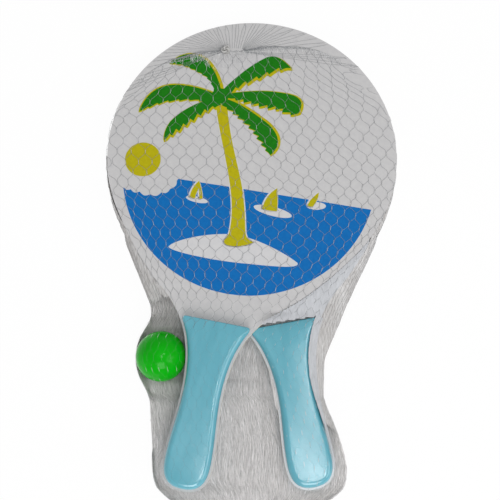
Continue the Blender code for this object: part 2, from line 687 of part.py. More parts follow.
def net_mesh(name, surface):
    """The flat net cut back to one turn, wrapped round the sleeve's surface and closed at the seam."""
    shape, parents = flat_net(surface)
    tree = KDTree(len(parents))
    for i, (place, neighbours) in enumerate(parents):
        tree.insert(place, i)
    tree.balance()
    spot = shape.verts.layers.float_vector.new("spot")
    for vert in shape.verts:
        place, i, _ = tree.find((vert.co.x, vert.co.y, 0))
        neighbours = parents[i][1]
        round_by, onward, facing = frame_on(surface, place.x, place.y)
        middle = on_sleeve(surface, place.x, place.y)
        flat_side = vert.co.xy - place.xy
        thick = STRAND / 2 if len(neighbours) == 2 else STRAND * JOINT_SHARE
        if flat_side.length < FLAT_STRAND * 0.05:
            vert[spot] = middle + facing * math.copysign(STRAND / 2, vert.co.z)
            continue
        side = (round_by * flat_side.x + onward * flat_side.y).normalized()
        if len(neighbours) == 2:
            ends = [on_sleeve(surface, p.x, p.y) for p in neighbours]
            across = (ends[1] - ends[0]).cross(facing).normalized()
            side = across * math.copysign(1, across.dot(side))
        vert[spot] = middle + side * thick
    for cut, keep in ((SEAM_AT, 1), (SEAM_AT + 1, -1)):
        everything = shape.verts[:] + shape.edges[:] + shape.faces[:]
        bmesh.ops.bisect_plane(
            shape, geom=everything, dist=1e-7, plane_co=(cut, 0, 0), plane_no=(-keep, 0, 0), clear_outer=True)
    for vert in shape.verts:
        vert.co = vert[spot]
    bmesh.ops.remove_doubles(shape, verts=shape.verts, dist=0.000005)
    bmesh.ops.recalc_face_normals(shape, faces=shape.faces)
    mesh = bpy.data.meshes.new(name)
    shape.to_mesh(mesh)
    shape.free()
    return mesh


def main():
    collection = clear_scene()
    finishes = {
        "core_wood": make_material("core_wood", (0.52, 0.36, 0.20), 0.60),
        "veneer_wood": make_material("veneer_wood", (0.66, 0.50, 0.32), 0.55),
        "white_print": make_material("white_print", (0.80, 0.80, 0.81), 0.35),
        "blue_lacquer": make_material("blue_lacquer", (0.15, 0.42, 0.54), 0.22),
        "ball_green": make_material("ball_green", (0.02, 0.42, 0.03), 0.30),
        "net_white": make_material("net_white", (0.74, 0.74, 0.72), 0.55),
        "clip_metal": make_material("clip_metal", (0.60, 0.61, 0.62), 0.30, 1.0),
    }
    front, back = paddle_places()
    carriers = [
        add_paddle("front", front, collection, finishes),
        add_paddle("back", back, collection, finishes),
    ]

    centre = ball_place(front)
    upper = turned("ball_upper_half", half_ball_profile(), 24, collection, finishes["ball_green"])
    lower = turned("ball_lower_half", half_ball_profile(), 24, collection, finishes["ball_green"])
    upper.location = lower.location = centre
    lower.rotation_euler = (math.pi, 0, 0)

    knot_y = BLADE_RADIUS - KNOT_FROM_RIM
    knot = Vector((KNOT_X, knot_y, height_on(front, BOARD_HALF, KNOT_X, knot_y)))
    lump = turned("top_knot", knot_profile(), 20, collection, finishes["net_white"])
    lump.matrix_world = Matrix.Translation(knot) @ front.to_3x3().to_4x4()

    surface = sleeve_surface(front, back, centre, knot)
    net = add_object("net_sleeve", net_mesh("net_sleeve", surface), collection, finishes["net_white"])
    end_y = BLADE_RADIUS - PADDLE_LENGTH - GATHER_LENGTH
    tail = turned("net_tail", tail_profile(), 20, collection, finishes["net_white"])
    clip = turned("crimp_clip", clip_profile(), 24, collection, finishes["clip_metal"])
    for obj in (tail, clip):
        obj.location = (0, end_y, NECK_HEIGHT)
        obj.rotation_euler = (math.pi / 2, 0, 0)

    root = bpy.data.objects.new("beach_paddle_set_origin", None)
    collection.objects.link(root)
    for obj in (*carriers, upper, lower, lump, net, tail, clip):
        obj.parent = root
    bpy.context.view_layer.update()
    seen = bpy.context.evaluated_depsgraph_get()
    corners = []
    for obj in collection.objects:
        if obj.type in {"MESH", "CURVE"}:
            shown = obj.evaluated_get(seen)
            mesh = shown.to_mesh()
            corners += [shown.matrix_world @ v.co for v in mesh.vertices]
            shown.to_mesh_clear()
    lows = [min(p[i] for p in corners) for i in range(3)]
    highs = [max(p[i] for p in corners) for i in range(3)]
    root.location = (-(lows[0] + highs[0]) / 2, -(lows[1] + highs[1]) / 2, -lows[2])
    bpy.context.view_layer.update()
    print("size", [round(high - low, 5) for low, high in zip(lows, highs)])
    print("ball centre", [round(v, 5) for v in centre + root.location])


main()
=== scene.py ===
# Beach paddle set in its net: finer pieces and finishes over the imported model
import math
import random
import bmesh
import bpy
import numpy as np
from mathutils import Matrix, Vector, noise
from mathutils.geometry import interpolate_bezier


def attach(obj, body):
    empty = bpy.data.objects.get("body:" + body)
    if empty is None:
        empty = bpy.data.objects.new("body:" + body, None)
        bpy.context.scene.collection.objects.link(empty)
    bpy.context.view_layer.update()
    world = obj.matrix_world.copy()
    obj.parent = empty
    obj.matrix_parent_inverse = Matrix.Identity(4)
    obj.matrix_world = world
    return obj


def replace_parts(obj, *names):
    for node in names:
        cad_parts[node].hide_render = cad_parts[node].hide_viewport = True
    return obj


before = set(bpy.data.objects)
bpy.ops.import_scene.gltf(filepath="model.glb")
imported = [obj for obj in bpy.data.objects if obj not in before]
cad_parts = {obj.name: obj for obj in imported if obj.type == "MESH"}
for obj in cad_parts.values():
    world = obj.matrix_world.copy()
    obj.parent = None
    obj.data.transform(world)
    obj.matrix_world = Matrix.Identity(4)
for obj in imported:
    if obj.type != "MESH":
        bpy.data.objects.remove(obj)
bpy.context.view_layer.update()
print("frame loaded")

# the paddle and how the two lie, in metres and degrees
paddle = {
    "bladeRadius": 0.1200, "length": 0.3944, "roundTo": 35, "shoulder": (0.0520, -0.1220, 40),
    "neck": (0.0163, -0.2000), "gripHalf": 0.0193, "gripUp": 0.0225, "boardHalf": 0.0031,
    "corePly": 0.0019, "outerPly": 0.0018, "sheet": 0.00025, "glue": 0.00005,
}
lie = {
    "shift": (0.000665, 0.103493, -0.000243), "lean": 1.5302, "frontSplay": -11.1239, "backSplay": 10.4720,
    "frontUp": 0.0183068, "backAt": (-0.0014, 0.0008, 0.0083046),
}
shift = Vector(lie["shift"])


def tilted(spot, lean, splay):
    turned = Matrix.Rotation(math.radians(-lean), 4, "X") @ Matrix.Rotation(math.radians(splay), 4, "Z")
    return Matrix.Translation(spot) @ turned


frontLow = tilted((0, 0, lie["frontUp"]), lie["lean"] * 2, lie["frontSplay"])   # in the blade's frame
backLow = tilted(lie["backAt"], lie["lean"], lie["backSplay"])
frontPlace = Matrix.Translation(shift) @ frontLow                               # in the model's frame
backPlace = Matrix.Translation(shift) @ backLow
sides = (("front", frontPlace), ("back", backPlace))


# small helpers
def toLinear(colour):
    return tuple((c / 255 / 12.92 if c <= 10 else ((c / 255 + 0.055) / 1.055) ** 2.4) for c in colour) + (1.0,)


def intoScene(name, data):
    made = bpy.data.objects.new(name, data)
    bpy.context.scene.collection.objects.link(made)
    return made


def keepObject(name, mesh, material, body="pack"):
    mesh.materials.clear()
    mesh.materials.append(material)
    piece = intoScene(name, mesh)
    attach(piece, body)
    return piece


def finished(holder, name):
    # what a curve or an object's modifiers make, as a mesh of its own
    bpy.context.view_layer.update()
    mesh = bpy.data.meshes.new_from_object(holder.evaluated_get(bpy.context.evaluated_depsgraph_get()))
    bpy.data.objects.remove(holder)
    mesh.name = name
    return mesh


def meshOf(shape, name):
    mesh = bpy.data.meshes.new(name)
    shape.to_mesh(mesh)
    shape.free()
    return mesh


def noteOwnPlace(mesh, place):
    # the piece's own coordinates go along as an attribute, for finishes that follow the piece
    own = mesh.attributes.new("own", "FLOAT_VECTOR", "POINT")
    spots = np.empty(len(mesh.vertices) * 3, dtype=np.float32)
    mesh.vertices.foreach_get("co", spots)
    own.data.foreach_set("vector", spots)
    mesh.transform(place)
    return mesh


def plate(name, loops, low, high, place):
    # a flat sheet between two heights, from closed loops of (x, y)
    curve = bpy.data.curves.new(name, "CURVE")
    curve.dimensions = "2D"
    curve.fill_mode = "BOTH"
    curve.extrude = (high - low) / 2
    for loop in loops:
        spline = curve.splines.new("POLY")
        spline.points.add(len(loop) - 1)
        for point, spot in zip(spline.points, loop):
            point.co = (spot[0], spot[1], 0, 1)
        spline.use_cyclic_u = True
    mesh = finished(intoScene(name, curve), name)
    mesh.transform(Matrix.Translation((0, 0, (low + high) / 2)))
    return noteOwnPlace(mesh, place)


def strung(name, paths, radius, material):
    # many threads as one mesh: a poly curve each, with a bevel
    curve = bpy.data.curves.new(name, "CURVE")
    curve.dimensions = "3D"
    curve.bevel_depth = radius
    curve.bevel_resolution = 0
    curve.use_fill_caps = True
    for path in paths:
        spline = curve.splines.new("POLY")
        spline.points.add(len(path) - 1)
        spline.points.foreach_set("co", np.hstack([path, np.ones((len(path), 1))]).ravel())
    mesh = finished(intoScene(name, curve), name)
    mesh.shade_smooth()
    piece = keepObject(name, mesh, material)
    print(name, len(mesh.polygons) * 2, "triangles")
    return piece


# finishes: each starts from the plain shader, with values for its sockets by name
def startMaterial(name, values):
    made = bpy.data.materials.new(name)
    made.use_nodes = True
    shader = made.node_tree.nodes["Principled BSDF"]
    for socket, value in values.items():
        shader.inputs[socket].default_value = value
    return made, made.node_tree, shader


def addNode(tree, kind, sockets, operation=None):
    # sockets gives each input, by name or number, a value or another node's output
    made = tree.nodes.new(kind)
    if operation:
        made.operation = operation
    for key, value in sockets.items():
        if isinstance(value, bpy.types.NodeSocket):
            tree.links.new(value, made.inputs[key])
        else:
            made.inputs[key].default_value = value
    return made


def spotOn(tree, scale, turn=0.0, own=False):
    # object coordinates, or those that noteOwnPlace kept, turned and stretched by scale
    source = tree.nodes.new("ShaderNodeAttribute" if own else "ShaderNodeTexCoord")
    if own:
        source.attribute_name = "own"
    place = source.outputs["Vector" if own else "Object"]
    laid = {"Vector": place, "Rotation": (0, 0, math.radians(turn)), "Scale": scale}
    return addNode(tree, "ShaderNodeMapping", laid).outputs["Vector"]


def grain(tree, spot, scale, detail):
    return addNode(tree, "ShaderNodeTexNoise", {"Vector": spot, "Scale": scale, "Detail": detail}).outputs["Fac"]


def spread(tree, value, low, high, atLow, atHigh):
    # atLow where the value is low, atHigh where it is high, and evenly in between
    return addNode(tree, "ShaderNodeMapRange", {0: value, 1: low, 2: high, 3: atLow, 4: atHigh}).outputs[0]


def colourBetween(tree, factor, stops, shader):
    ramp = addNode(tree, "ShaderNodeValToRGB", {"Fac": factor})
    band = ramp.color_ramp
    while len(band.elements) < len(stops):
        band.elements.new(0.5)
    for element, (at, colour) in zip(band.elements, stops):
        element.position = at
        element.color = toLinear(colour)
    tree.links.new(ramp.outputs["Color"], shader.inputs["Base Color"])


def twoTones(tree, spot, scale, detail, tones, shader):
    colourBetween(tree, grain(tree, spot, scale, detail), ((0.3, tones[0]), (0.7, tones[1])), shader)


def bumpFrom(tree, height, strength, distance, shader, socket="Normal"):
    bump = addNode(tree, "ShaderNodeBump", {"Height": height, "Strength": strength, "Distance": distance})
    tree.links.new(bump.outputs["Normal"], shader.inputs[socket])


def mixedOut(tree, share, first, second):
    mix = addNode(tree, "ShaderNodeMixShader", {"Fac": share, 1: first.outputs[0], 2: second.outputs[0]})
    tree.links.new(mix.outputs[0], tree.nodes["Material Output"].inputs["Surface"])


def rawPly(name, dark, light):
    # end grain: fine streaks along the ply with a few dark pores
    made, tree, shader = startMaterial(name, {"Roughness": 0.68})
    streaks = grain(tree, spotOn(tree, (60, 60, 2600), own=True), 1.0, 4)
    colourBetween(tree, streaks, ((0.25, dark), (0.5, light), (0.78, dark)), shader)
    bumpFrom(tree, streaks, 0.4, 0.0002, shader)
    return made


def mottled(name, tones, values, mottle, relief, stretch=(1, 1, 1), own=False):
    # two tones in a mottling of some scale and detail, over a relief of some scale, detail and strength
    made, tree, shader = startMaterial(name, values)
    spot = spotOn(tree, stretch, own=own)
    twoTones(tree, spot, *mottle, tones, shader)
    bumpFrom(tree, grain(tree, spot, *relief[:2]), relief[2], 0.0001, shader)
    return made


def printedFilm(name, tones, scale=260):
    # satin film with the faint mottling of a screen print
    satin = {"Roughness": 0.50, "Specular IOR Level": 0.14}
    return mottled(name, tones, satin, (scale, 5), (900, 2, 0.12), own=True)


def gripLacquer(name, tones):
    # glossy lacquer over sanded wood: the grain breaks the reflections up and hardly tints the colour
    made, tree, shader = startMaterial(name, {
        "Roughness": 0.50, "Specular IOR Level": 0.10, "Coat Weight": 1.0, "Coat IOR": 1.75, "Coat Roughness": 0.07,
    })
    twoTones(tree, spotOn(tree, (1, 0.22, 1), own=True), 160, 4, tones, shader)
    sanded = grain(tree, spotOn(tree, (1, 0.55, 1), own=True), 1500, 3)
    bumpFrom(tree, sanded, 0.6, 0.00012, shader, "Coat Normal")
    return made


def gauzeWeave(name, dark, mid, light):
    # net pressed together in many layers: fine slanting streaks both ways, and broad folds
    made, tree, shader = startMaterial(name, {"Roughness": 0.75, "Specular IOR Level": 0.2})
    total = 0.0
    fine, broad = (1500, 130, 400), (95, 9, 30)
    for stretch, turn, share in ((fine, 14, 0.38), (fine, -22, 0.38), (broad, -8, 0.24)):
        streaks = grain(tree, spotOn(tree, stretch, turn), 1.0, 3)
        total = addNode(tree, "ShaderNodeMath", {0: streaks, 1: share, 2: total}, "MULTIPLY_ADD").outputs[0]
    colourBetween(tree, total, ((0.36, dark), (0.50, mid), (0.64, light)), shader)
    bumpFrom(tree, total, 0.5, 0.0002, shader)
    return made


def looseThread(name, tones):
    return mottled(name, tones, {"Roughness": 0.6}, (420, 3), (2500, 2, 0.2))


coreWood = rawPly("coreWood", (190, 172, 146), (212, 198, 176))
veneerWood = rawPly("veneerWood", (212, 203, 188), (230, 223, 210))
whiteFilm = printedFilm("whiteFilm", ((188, 187, 188), (194, 193, 193)))
# a lighter copy of the white film: painted light for the lower board's upper face
paintedLightFilm = printedFilm("paintedLightFilm", ((214, 214, 216), (220, 220, 222)))
seaInk = printedFilm("seaInk", ((1, 97, 168), (5, 105, 176)), 500)
foamInk = printedFilm("foamInk", ((195, 195, 197), (201, 200, 201)))
yellowInk = printedFilm("yellowInk", ((168, 159, 3), (178, 169, 7)), 500)
greenInk = printedFilm("greenInk", ((14, 106, 4), (22, 118, 8)), 500)
lacquer = gripLacquer("gripLacquer", ((77, 156, 173), (87, 164, 181)))
ballGreen = mottled("ballPlastic", ((2, 158, 5), (4, 170, 8)), {"Roughness": 0.13, "Specular IOR Level": 0.14},
                    (90, 3), (1400, 2, 0.10))
gauzeGrey = looseThread("gauzeGrey", ((178, 177, 175), (214, 213, 211)))
paleThread = looseThread("paleThread", ((206, 206, 208), (232, 232, 232)))
gauze = gauzeWeave("gauze", (187, 184, 185), (213, 210, 210), (235, 232, 233))
shoulderGauze = gauzeWeave("shoulderGauze", (168, 169, 173), (180, 182, 186), (190, 192, 196))
# a darker copy of the pressed net: painted shade for the net beside the boards
shadedGauze = gauzeWeave("shadedGauze", (152, 148, 146), (184, 182, 181), (208, 207, 207))
clipBright = mottled("clipMetal", ((188, 190, 193), (214, 215, 217)), {"Roughness": 0.32, "Metallic": 1.0},
                     (300, 4), (300, 4, 0.2), (1, 12, 1))
print("finishes made")


# the boards
def halfOutline():
    # the right half, from the blade's top to the handle's end
    radius, drop = paddle["bladeRadius"], math.radians(-paddle["roundTo"])
    turn = [math.pi / 2 + (drop - math.pi / 2) * i / 90 for i in range(91)]
    spots = [Vector((radius * math.cos(a), radius * math.sin(a))) for a in turn]
    shoulder, slope = Vector(paddle["shoulder"][:2]), math.radians(paddle["shoulder"][2])
    neck, endY = Vector(paddle["neck"]), radius - paddle["length"]
    grip, end = Vector((paddle["gripHalf"], endY + paddle["gripUp"])), Vector((0, endY))
    onward, hill = Vector((math.sin(drop), -math.cos(drop))), Vector((-math.cos(slope), -math.sin(slope)))
    down, inward = Vector((0, -1)), Vector((-1, 0))
    runs = (   # from, its direction and pull, to, its direction and pull, steps
        (spots[-1], onward, 0.34, shoulder, hill, 0.34, 18), (shoulder, hill, 0.18, neck, down, 0.60, 28),
        (neck, down, 0.35, grip, down, 0.35, 18), (grip, down, 0.55, end, inward, 0.42, 26),
    )
    for first, leave, out, last, arrive, into, count in runs:
        span = (last - first).length
        knots = (first, first + leave * span * out, last - arrive * span * into, last)
        spots += [p.to_2d() for p in interpolate_bezier(*[k.to_3d() for k in knots], count + 1)[1:]]
    return spots


def inwards(loop):
    facing = []
    for i, here in enumerate(loop):
        along = ((here - loop[i - 1]).normalized() + (loop[(i + 1) % len(loop)] - here).normalized()).normalized()
        facing.append(Vector((-along.y, along.x)))
    return facing


def wholeOutline(inset=0.0):
    right = halfOutline()
    loop = [Vector((-p.x, p.y)) for p in right] + right[-2:0:-1]
    return [p + n * inset for p, n in zip(loop, inwards(loop))] if inset else loop


boardLoop = wholeOutline()
coreTop = paddle["corePly"] / 2
veneerTop = coreTop + paddle["glue"] + paddle["outerPly"]
sheetLow = paddle["boardHalf"] - paddle["sheet"]
plyLayers = {   # the heights of its two sides, its finish and its slot
    "core_ply": (-coreTop, coreTop, coreWood, "core_wood"),
    "front_veneer": (coreTop + paddle["glue"], veneerTop, veneerWood, "veneer_wood"),
    "back_veneer": (-veneerTop, -coreTop - paddle["glue"], veneerWood, "veneer_wood"),
    "front_face_sheet": (sheetLow, paddle["boardHalf"], whiteFilm, "white_print"),
    "back_face_sheet": (-paddle["boardHalf"], -sheetLow, whiteFilm, "white_print"),
}
for side, place in sides:
    for layer, (low, high, finish, slotName) in plyLayers.items():
        name = f"{side}_{layer}"
        # the lower board's upper face takes the lighter copy of the white film, painted light that lifts the shade
        # the upper board casts on it
        finish = paintedLightFilm if name == "back_front_face_sheet" else finish
        piece = keepObject(name + "_fine", plate(name + "_fine", [boardLoop], low, high, place), finish)
        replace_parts(piece, name)
print("boards made")

# the grip cheeks
cheek = {
    "thick": 0.0070, "down": 0.1440, "rim": 0.0017, "round": 0.0048, "cutRound": 0.0008, "corner": 0.0048,
    "fade": 0.0140, "steps": 12,
}


def cheekOutline():
    loop = wholeOutline(cheek["rim"])
    corner = cheek["corner"]
    side = sorted((p for p in loop if p.x > 0 and p.y < 0), key=lambda p: p.y)

    def halfAt(down):
        return float(np.interp(-down, [p.y for p in side], [p.x for p in side]))

    cut = Vector((halfAt(cheek["down"]), -cheek["down"]))
    below = Vector((halfAt(cheek["down"] + corner), -cheek["down"] - corner))
    top = cut - Vector((corner, 0))
    turn = [below * (1 - t) ** 2 + cut * 2 * t * (1 - t) + top * t * t for t in (i / 8 for i in range(9))]
    straight = [Vector((top.x * (1 - i / 8), top.y)) for i in range(1, 16)]
    low = [p for p in loop if p.y < below.y - 0.0004]
    left, right = [p for p in low if p.x <= 1e-6], [p for p in low if p.x > 1e-6]
    return left + right + turn + straight + [Vector((-p.x, p.y)) for p in reversed(turn)]


def cheekMesh(name, place):
    loop = cheekOutline()
    facing = inwards(loop)
    shape = bmesh.new()
    rings = []
    for step in range(cheek["steps"] + 2):
        lean = math.pi / 2 * max(0, step - 1) / cheek["steps"]
        ring = []
        for p, n in zip(loop, facing):
            share = min(1.0, max(0.0, (-cheek["down"] - p.y) / cheek["fade"]))
            r = cheek["cutRound"] + (cheek["round"] - cheek["cutRound"]) * share * share * (3 - 2 * share)
            spot = p + n * r * (1 - math.cos(lean))
            height = cheek["thick"] - r * (1 - math.sin(lean)) if step else 0
            ring.append(shape.verts.new((spot.x, spot.y, height)))
        rings.append([shape.edges.new((a, b)) for a, b in zip(ring, ring[1:] + ring[:1])])
    for lower, upper in zip(rings, rings[1:]):
        bmesh.ops.bridge_loops(shape, edges=lower + upper)
    for ring in (rings[0], rings[-1]):
        bmesh.ops.contextual_create(shape, geom=ring)
    bmesh.ops.triangulate(shape, faces=[f for f in shape.faces if len(f.verts) > 4])
    bmesh.ops.recalc_face_normals(shape, faces=shape.faces)
    mesh = meshOf(shape, name)
    mesh.shade_smooth()
    mesh.set_sharp_from_angle(angle=math.radians(50))
    return noteOwnPlace(mesh, place)


glued = paddle["boardHalf"] + paddle["glue"]
for side, place in sides:
    for face, turn in (("front", 0), ("back", math.pi)):
        seat = place @ Matrix.Rotation(turn, 4, "Y") @ Matrix.Translation((0, 0, glued))
        name = f"{side}_{face}_cheek"
        piece = keepObject(name + "_fine", cheekMesh(name + "_fine", seat), lacquer)
        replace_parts(piece, name)
print("cheeks made")

# the print on the upper paddle, millimetres from the blade's centre; heights are its ink layers
ink = {"layer": 0.00003, "fringe": 1.2, "teeth": 3.8}


def curveThrough(knots, count):
    # cubic runs through groups of four control points
    spots = []
    for i in range(0, len(knots) - 3, 3):
        run = interpolate_bezier(*[Vector((*k, 0)) for k in knots[i:i + 4]], count)
        spots += [p.to_2d() for p in run[:-1]]
    return spots + [Vector(knots[-1])]


def inkShape(name, loop, layers, finish):
    scaled = [(p[0] / 1000, p[1] / 1000) for p in loop]
    low, high = [paddle["boardHalf"] + ink["layer"] * step for step in ((layers - 1) * 0.999, layers)]
    piece = keepObject(name, plate(name, [scaled], low, high, frontPlace), finish)


def ellipse(cx, cy, rx, ry, turn=0.0, count=64):
    a = math.radians(turn)
    spots = []
    for i in range(count):
        x, y = rx * math.cos(math.tau * i / count), ry * math.sin(math.tau * i / count)
        spots.append(Vector((cx + x * math.cos(a) - y * math.sin(a), cy + x * math.sin(a) + y * math.cos(a))))
    return spots


sea = {
    "centre": (1.0, -15.1), "radius": 104.7, "from": -7.5, "to": -160.8, "scallop": 0.24,
    "bank": ((-97.6, -49.0), (-91.8, -49.4), (-84.0, -50.0), (-75.0, -50.6), (-66.5, -47.4), (-60.0, -43.0),
             (-56.6, -33.4)),
    "horizon": ((-55.3, -33.2), (-13.0, -31.8), (40, -30.4)),
}


def seaLoop():
    # round the lower edge, up scallops of a cloud bank from the sea's left tip, and back along the horizon
    spots = []
    for i in range(97):
        a = math.radians(sea["from"] + (sea["to"] - sea["from"]) * i / 96)
        spots.append(Vector(sea["centre"]) + Vector((math.cos(a), math.sin(a))) * sea["radius"])
    for here, after in zip(sea["bank"], sea["bank"][1:]):
        a, b = Vector(here), Vector(after)
        out = Vector(((b - a).y, -(b - a).x)).normalized() * (b - a).length * sea["scallop"]
        spots += [a.lerp(b, i / 8) + out * math.sin(math.pi * i / 8) for i in range(8)]
    return spots + [Vector(p) for p in sea["horizon"]]


def grown(loop, by, move=(0, 0)):
    # the same shape, a little larger all round and moved
    clockwise = sum(a.x * b.y - b.x * a.y for a, b in zip(loop, loop[1:] + loop[:1])) < 0
    way = 1 if clockwise else -1
    return [p + n * by * way + Vector(move) for p, n in zip(loop, inwards(loop))]


def frond(upper, lower, teeth, sharp):
    # upper edge from the crown to the tip, then back along the lower one with leaf teeth
    spots = curveThrough(upper, 14)
    back = curveThrough(lower, 40)
    walked = 0.0
    total = sum((b - a).length for a, b in zip(back, back[1:]))
    for a, b in zip(back, back[1:]):
        walked += (b - a).length
        share = walked / total
        wave = (share * teeth) % 1.0
        fades = min(1.0, (1 - share) * 5) * min(1.0, share * 6)
        out = Vector(((b - a).y, -(b - a).x)).normalized()
        spots.append(b - out * ink["teeth"] * sharp * fades * (wave - 0.35))
    return spots[:-1]


fronds = (   # upper edge, lower edge, teeth, how sharp they are, and how its pale fringe is moved
    (((-37, 52), (-43, 66), (-54, 79), (-65, 79), (-74, 79), (-81, 74), (-85, 66.6)),
     ((-85, 66.6), (-74, 69), (-63, 65), (-54, 61.5), (-48, 59), (-43, 53), (-41, 45)), 9, 0.35, (1.5, 0.4)),
    (((-36, 50), (-30, 61), (-16, 80), (-4, 88.6), (4, 93), (11, 88), (18, 82.3)),
     ((18, 82.3), (10, 82), (2, 77), (-6, 70.5), (-13, 65), (-25, 60), (-29, 47)), 6, 0.8, (0.9, -1.2)),
    (((-38, 46), (-52, 50), (-68, 51), (-80, 47.4), (-93, 43), (-99, 32), (-100.3, 18.9)),
     ((-100.3, 18.9), (-93, 24), (-86, 30), (-76, 33), (-66, 36), (-55, 40), (-44, 37)), 7, 0.45, (0.2, 0.0)),
    (((-33, 48), (-20, 53), (-4, 57.5), (8, 58.2), (20, 58.8), (37, 61), (31.6, 43)),
     ((31.6, 43), (24, 38), (20, 46), (8, 44), (-4, 44), (-16, 46.5), (-30, 45)), 9, 1.0, (1.0, -0.5)),
    (((-40, 43), (-53, 38), (-66, 26), (-71.5, 17), (-75, 11), (-76, 4), (-74.2, -2.2)),
     ((-74.2, -2.2), (-70, 3), (-63, 10), (-56, 18), (-49, 26), (-42, 34), (-33, 38)), 8, 1.0, (0.7, -0.8)),
    (((-36, 44), (-22, 45), (-8, 37), (6, 30), (18, 23), (24, 13), (15.2, 1.6)),
     ((15.2, 1.6), (8, 9), (3, 16), (-5, 22.5), (-13, 28), (-20, 34), (-34, 38)), 10, 0.9, (1.0, 0.3)),
)
inkShape("print_sea", seaLoop(), 1, seaInk)
islet = curveThrough(((-50.8, -91.2), (-50, -86), (-25, -74), (-4, -71.2), (13, -68.5), (43, -78), (53.8, -84.2),
                      (57, -88.5), (38, -90.6), (14, -92.6), (-12, -95.6), (-48, -94.6), (-50.8, -91.2)), 14)[:-1]
inkShape("print_islet", islet, 2, foamInk)
hulls = ((-36.6, -47.6, 9.2, 2.5, -2), (26.2, -45.6, 16.0, 3.9, -4), (60.2, -34.2, 7.9, 3.3, 10))
for i, hull in enumerate(hulls):
    inkShape(f"print_hull_{i + 1}", ellipse(*hull), 2, foamInk)
trunk = curveThrough(((-38.5, 38), (-31, 14), (-20, -8), (-12.2, -31), (-7, -46), (-5, -58), (-5.0, -70),
                      (-5.3, -75), (-11, -78), (-5.4, -80.4), (0, -81.5), (9, -79.5), (15.8, -74.2), (9, -73),
                      (8.4, -70), (6.6, -62), (4, -50), (1, -40), (-2.4, -30), (-10, -10), (-21, 10),
                      (-28.6, 38)), 12)
inkShape("print_trunk_edge", grown(trunk, 0.9), 2, foamInk)
inkShape("print_trunk", trunk, 3, yellowInk)
inkShape("print_sun", ellipse(-87.7, -22.2, 14.8, 14.8, 0, 96), 3, yellowInk)
sails = (
    ((-38.1, -31.4), (-41.5, -36), (-43, -41), (-42.9, -46.2), (-41.5, -47.6), (-39.5, -47.4), (-38.4, -46.6),
     (-38.2, -43), (-37.8, -40), (-37.0, -38), (-36.2, -41), (-35.4, -44), (-34.6, -46.8), (-33.6, -46.6),
     (-32.8, -46.2), (-32.2, -45.6), (-33, -42), (-35, -37), (-38.1, -31.4)),
    ((26.2, -25.3), (21, -30), (17.5, -37), (17.4, -45.0), (21, -45.8), (25, -45.6), (29.5, -44.7), (29.2, -38),
     (27.6, -31), (26.2, -25.3)),
    ((60.2, -22.5), (57, -26), (53.6, -31), (53.2, -35.2), (54.5, -36), (56, -35.8), (57.6, -35.2), (59, -32),
     (61.5, -27), (60.2, -22.5)),
)
for i, sail in enumerate(sails):
    loop = curveThrough(sail, 8)[:-1]
    inkShape(f"print_sail_edge_{i + 1}", grown(loop, 0.8, (-0.5, 0)), 2, foamInk)
    inkShape(f"print_sail_{i + 1}", loop, 3, yellowInk)
for i, (upper, lower, teeth, sharp, move) in enumerate(fronds):
    leaf = frond(upper, lower, teeth, sharp)
    inkShape(f"print_frond_fringe_{i + 1}", grown(leaf, ink["fringe"], move), 3 + i * 0.02, yellowInk)
    inkShape(f"print_frond_{i + 1}", leaf, 4 + i * 0.02, greenInk)
inkShape("print_crown", ellipse(-36.4, 45.6, 7.5, 7.0, 30), 4.2, greenInk)
print("print made")

# the ball: two hollow halves with a hairline seam
ball = {
    "centre": (-0.071334, -0.063407, 0.021757), "radius": 0.0200, "wall": 0.0028, "seam": 0.00003, "lip": 0.00025,
    "steps": 28, "innerSteps": 8, "around": 96,
}


def ballHalf(name, up):
    outer, inner, seam, lip = ball["radius"], ball["radius"] - ball["wall"], ball["seam"], ball["lip"]
    profile = []
    for i in range(ball["steps"] + 1):
        a = math.pi / 2 * (1 - i / ball["steps"])
        profile.append((outer * math.cos(a), max(outer * math.sin(a), seam + lip)))
    profile[-1:] = [(outer, seam + lip), (outer - lip * 0.3, seam + lip * 0.3), (outer - lip, seam)]
    for i in range(ball["innerSteps"] + 1):
        a = math.pi / 2 * i / ball["innerSteps"]
        profile.append((inner * math.cos(a), max(inner * math.sin(a), seam)))
    shape = bmesh.new()
    spots = [shape.verts.new((max(r, 0), 0, z)) for r, z in profile]
    edges = [shape.edges.new(pair) for pair in zip(spots, spots[1:])]
    bmesh.ops.spin(shape, geom=spots + edges, axis=(0, 0, 1), cent=(0, 0, 0), angle=math.tau, steps=ball["around"],
                   use_merge=True, use_duplicate=False)
    bmesh.ops.remove_doubles(shape, verts=shape.verts, dist=1e-6)
    if not up:
        bmesh.ops.scale(shape, vec=(1, 1, -1), verts=shape.verts)
    bmesh.ops.recalc_face_normals(shape, faces=shape.faces)
    bmesh.ops.translate(shape, vec=ball["centre"], verts=shape.verts)
    mesh = meshOf(shape, name)
    mesh.shade_smooth()
    return mesh


for name, up in (("ball_upper_half", True), ("ball_lower_half", False)):
    piece = keepObject(name + "_fine", ballHalf(name + "_fine", up), ballGreen, "ball")
    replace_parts(piece, name)
print("ball made")

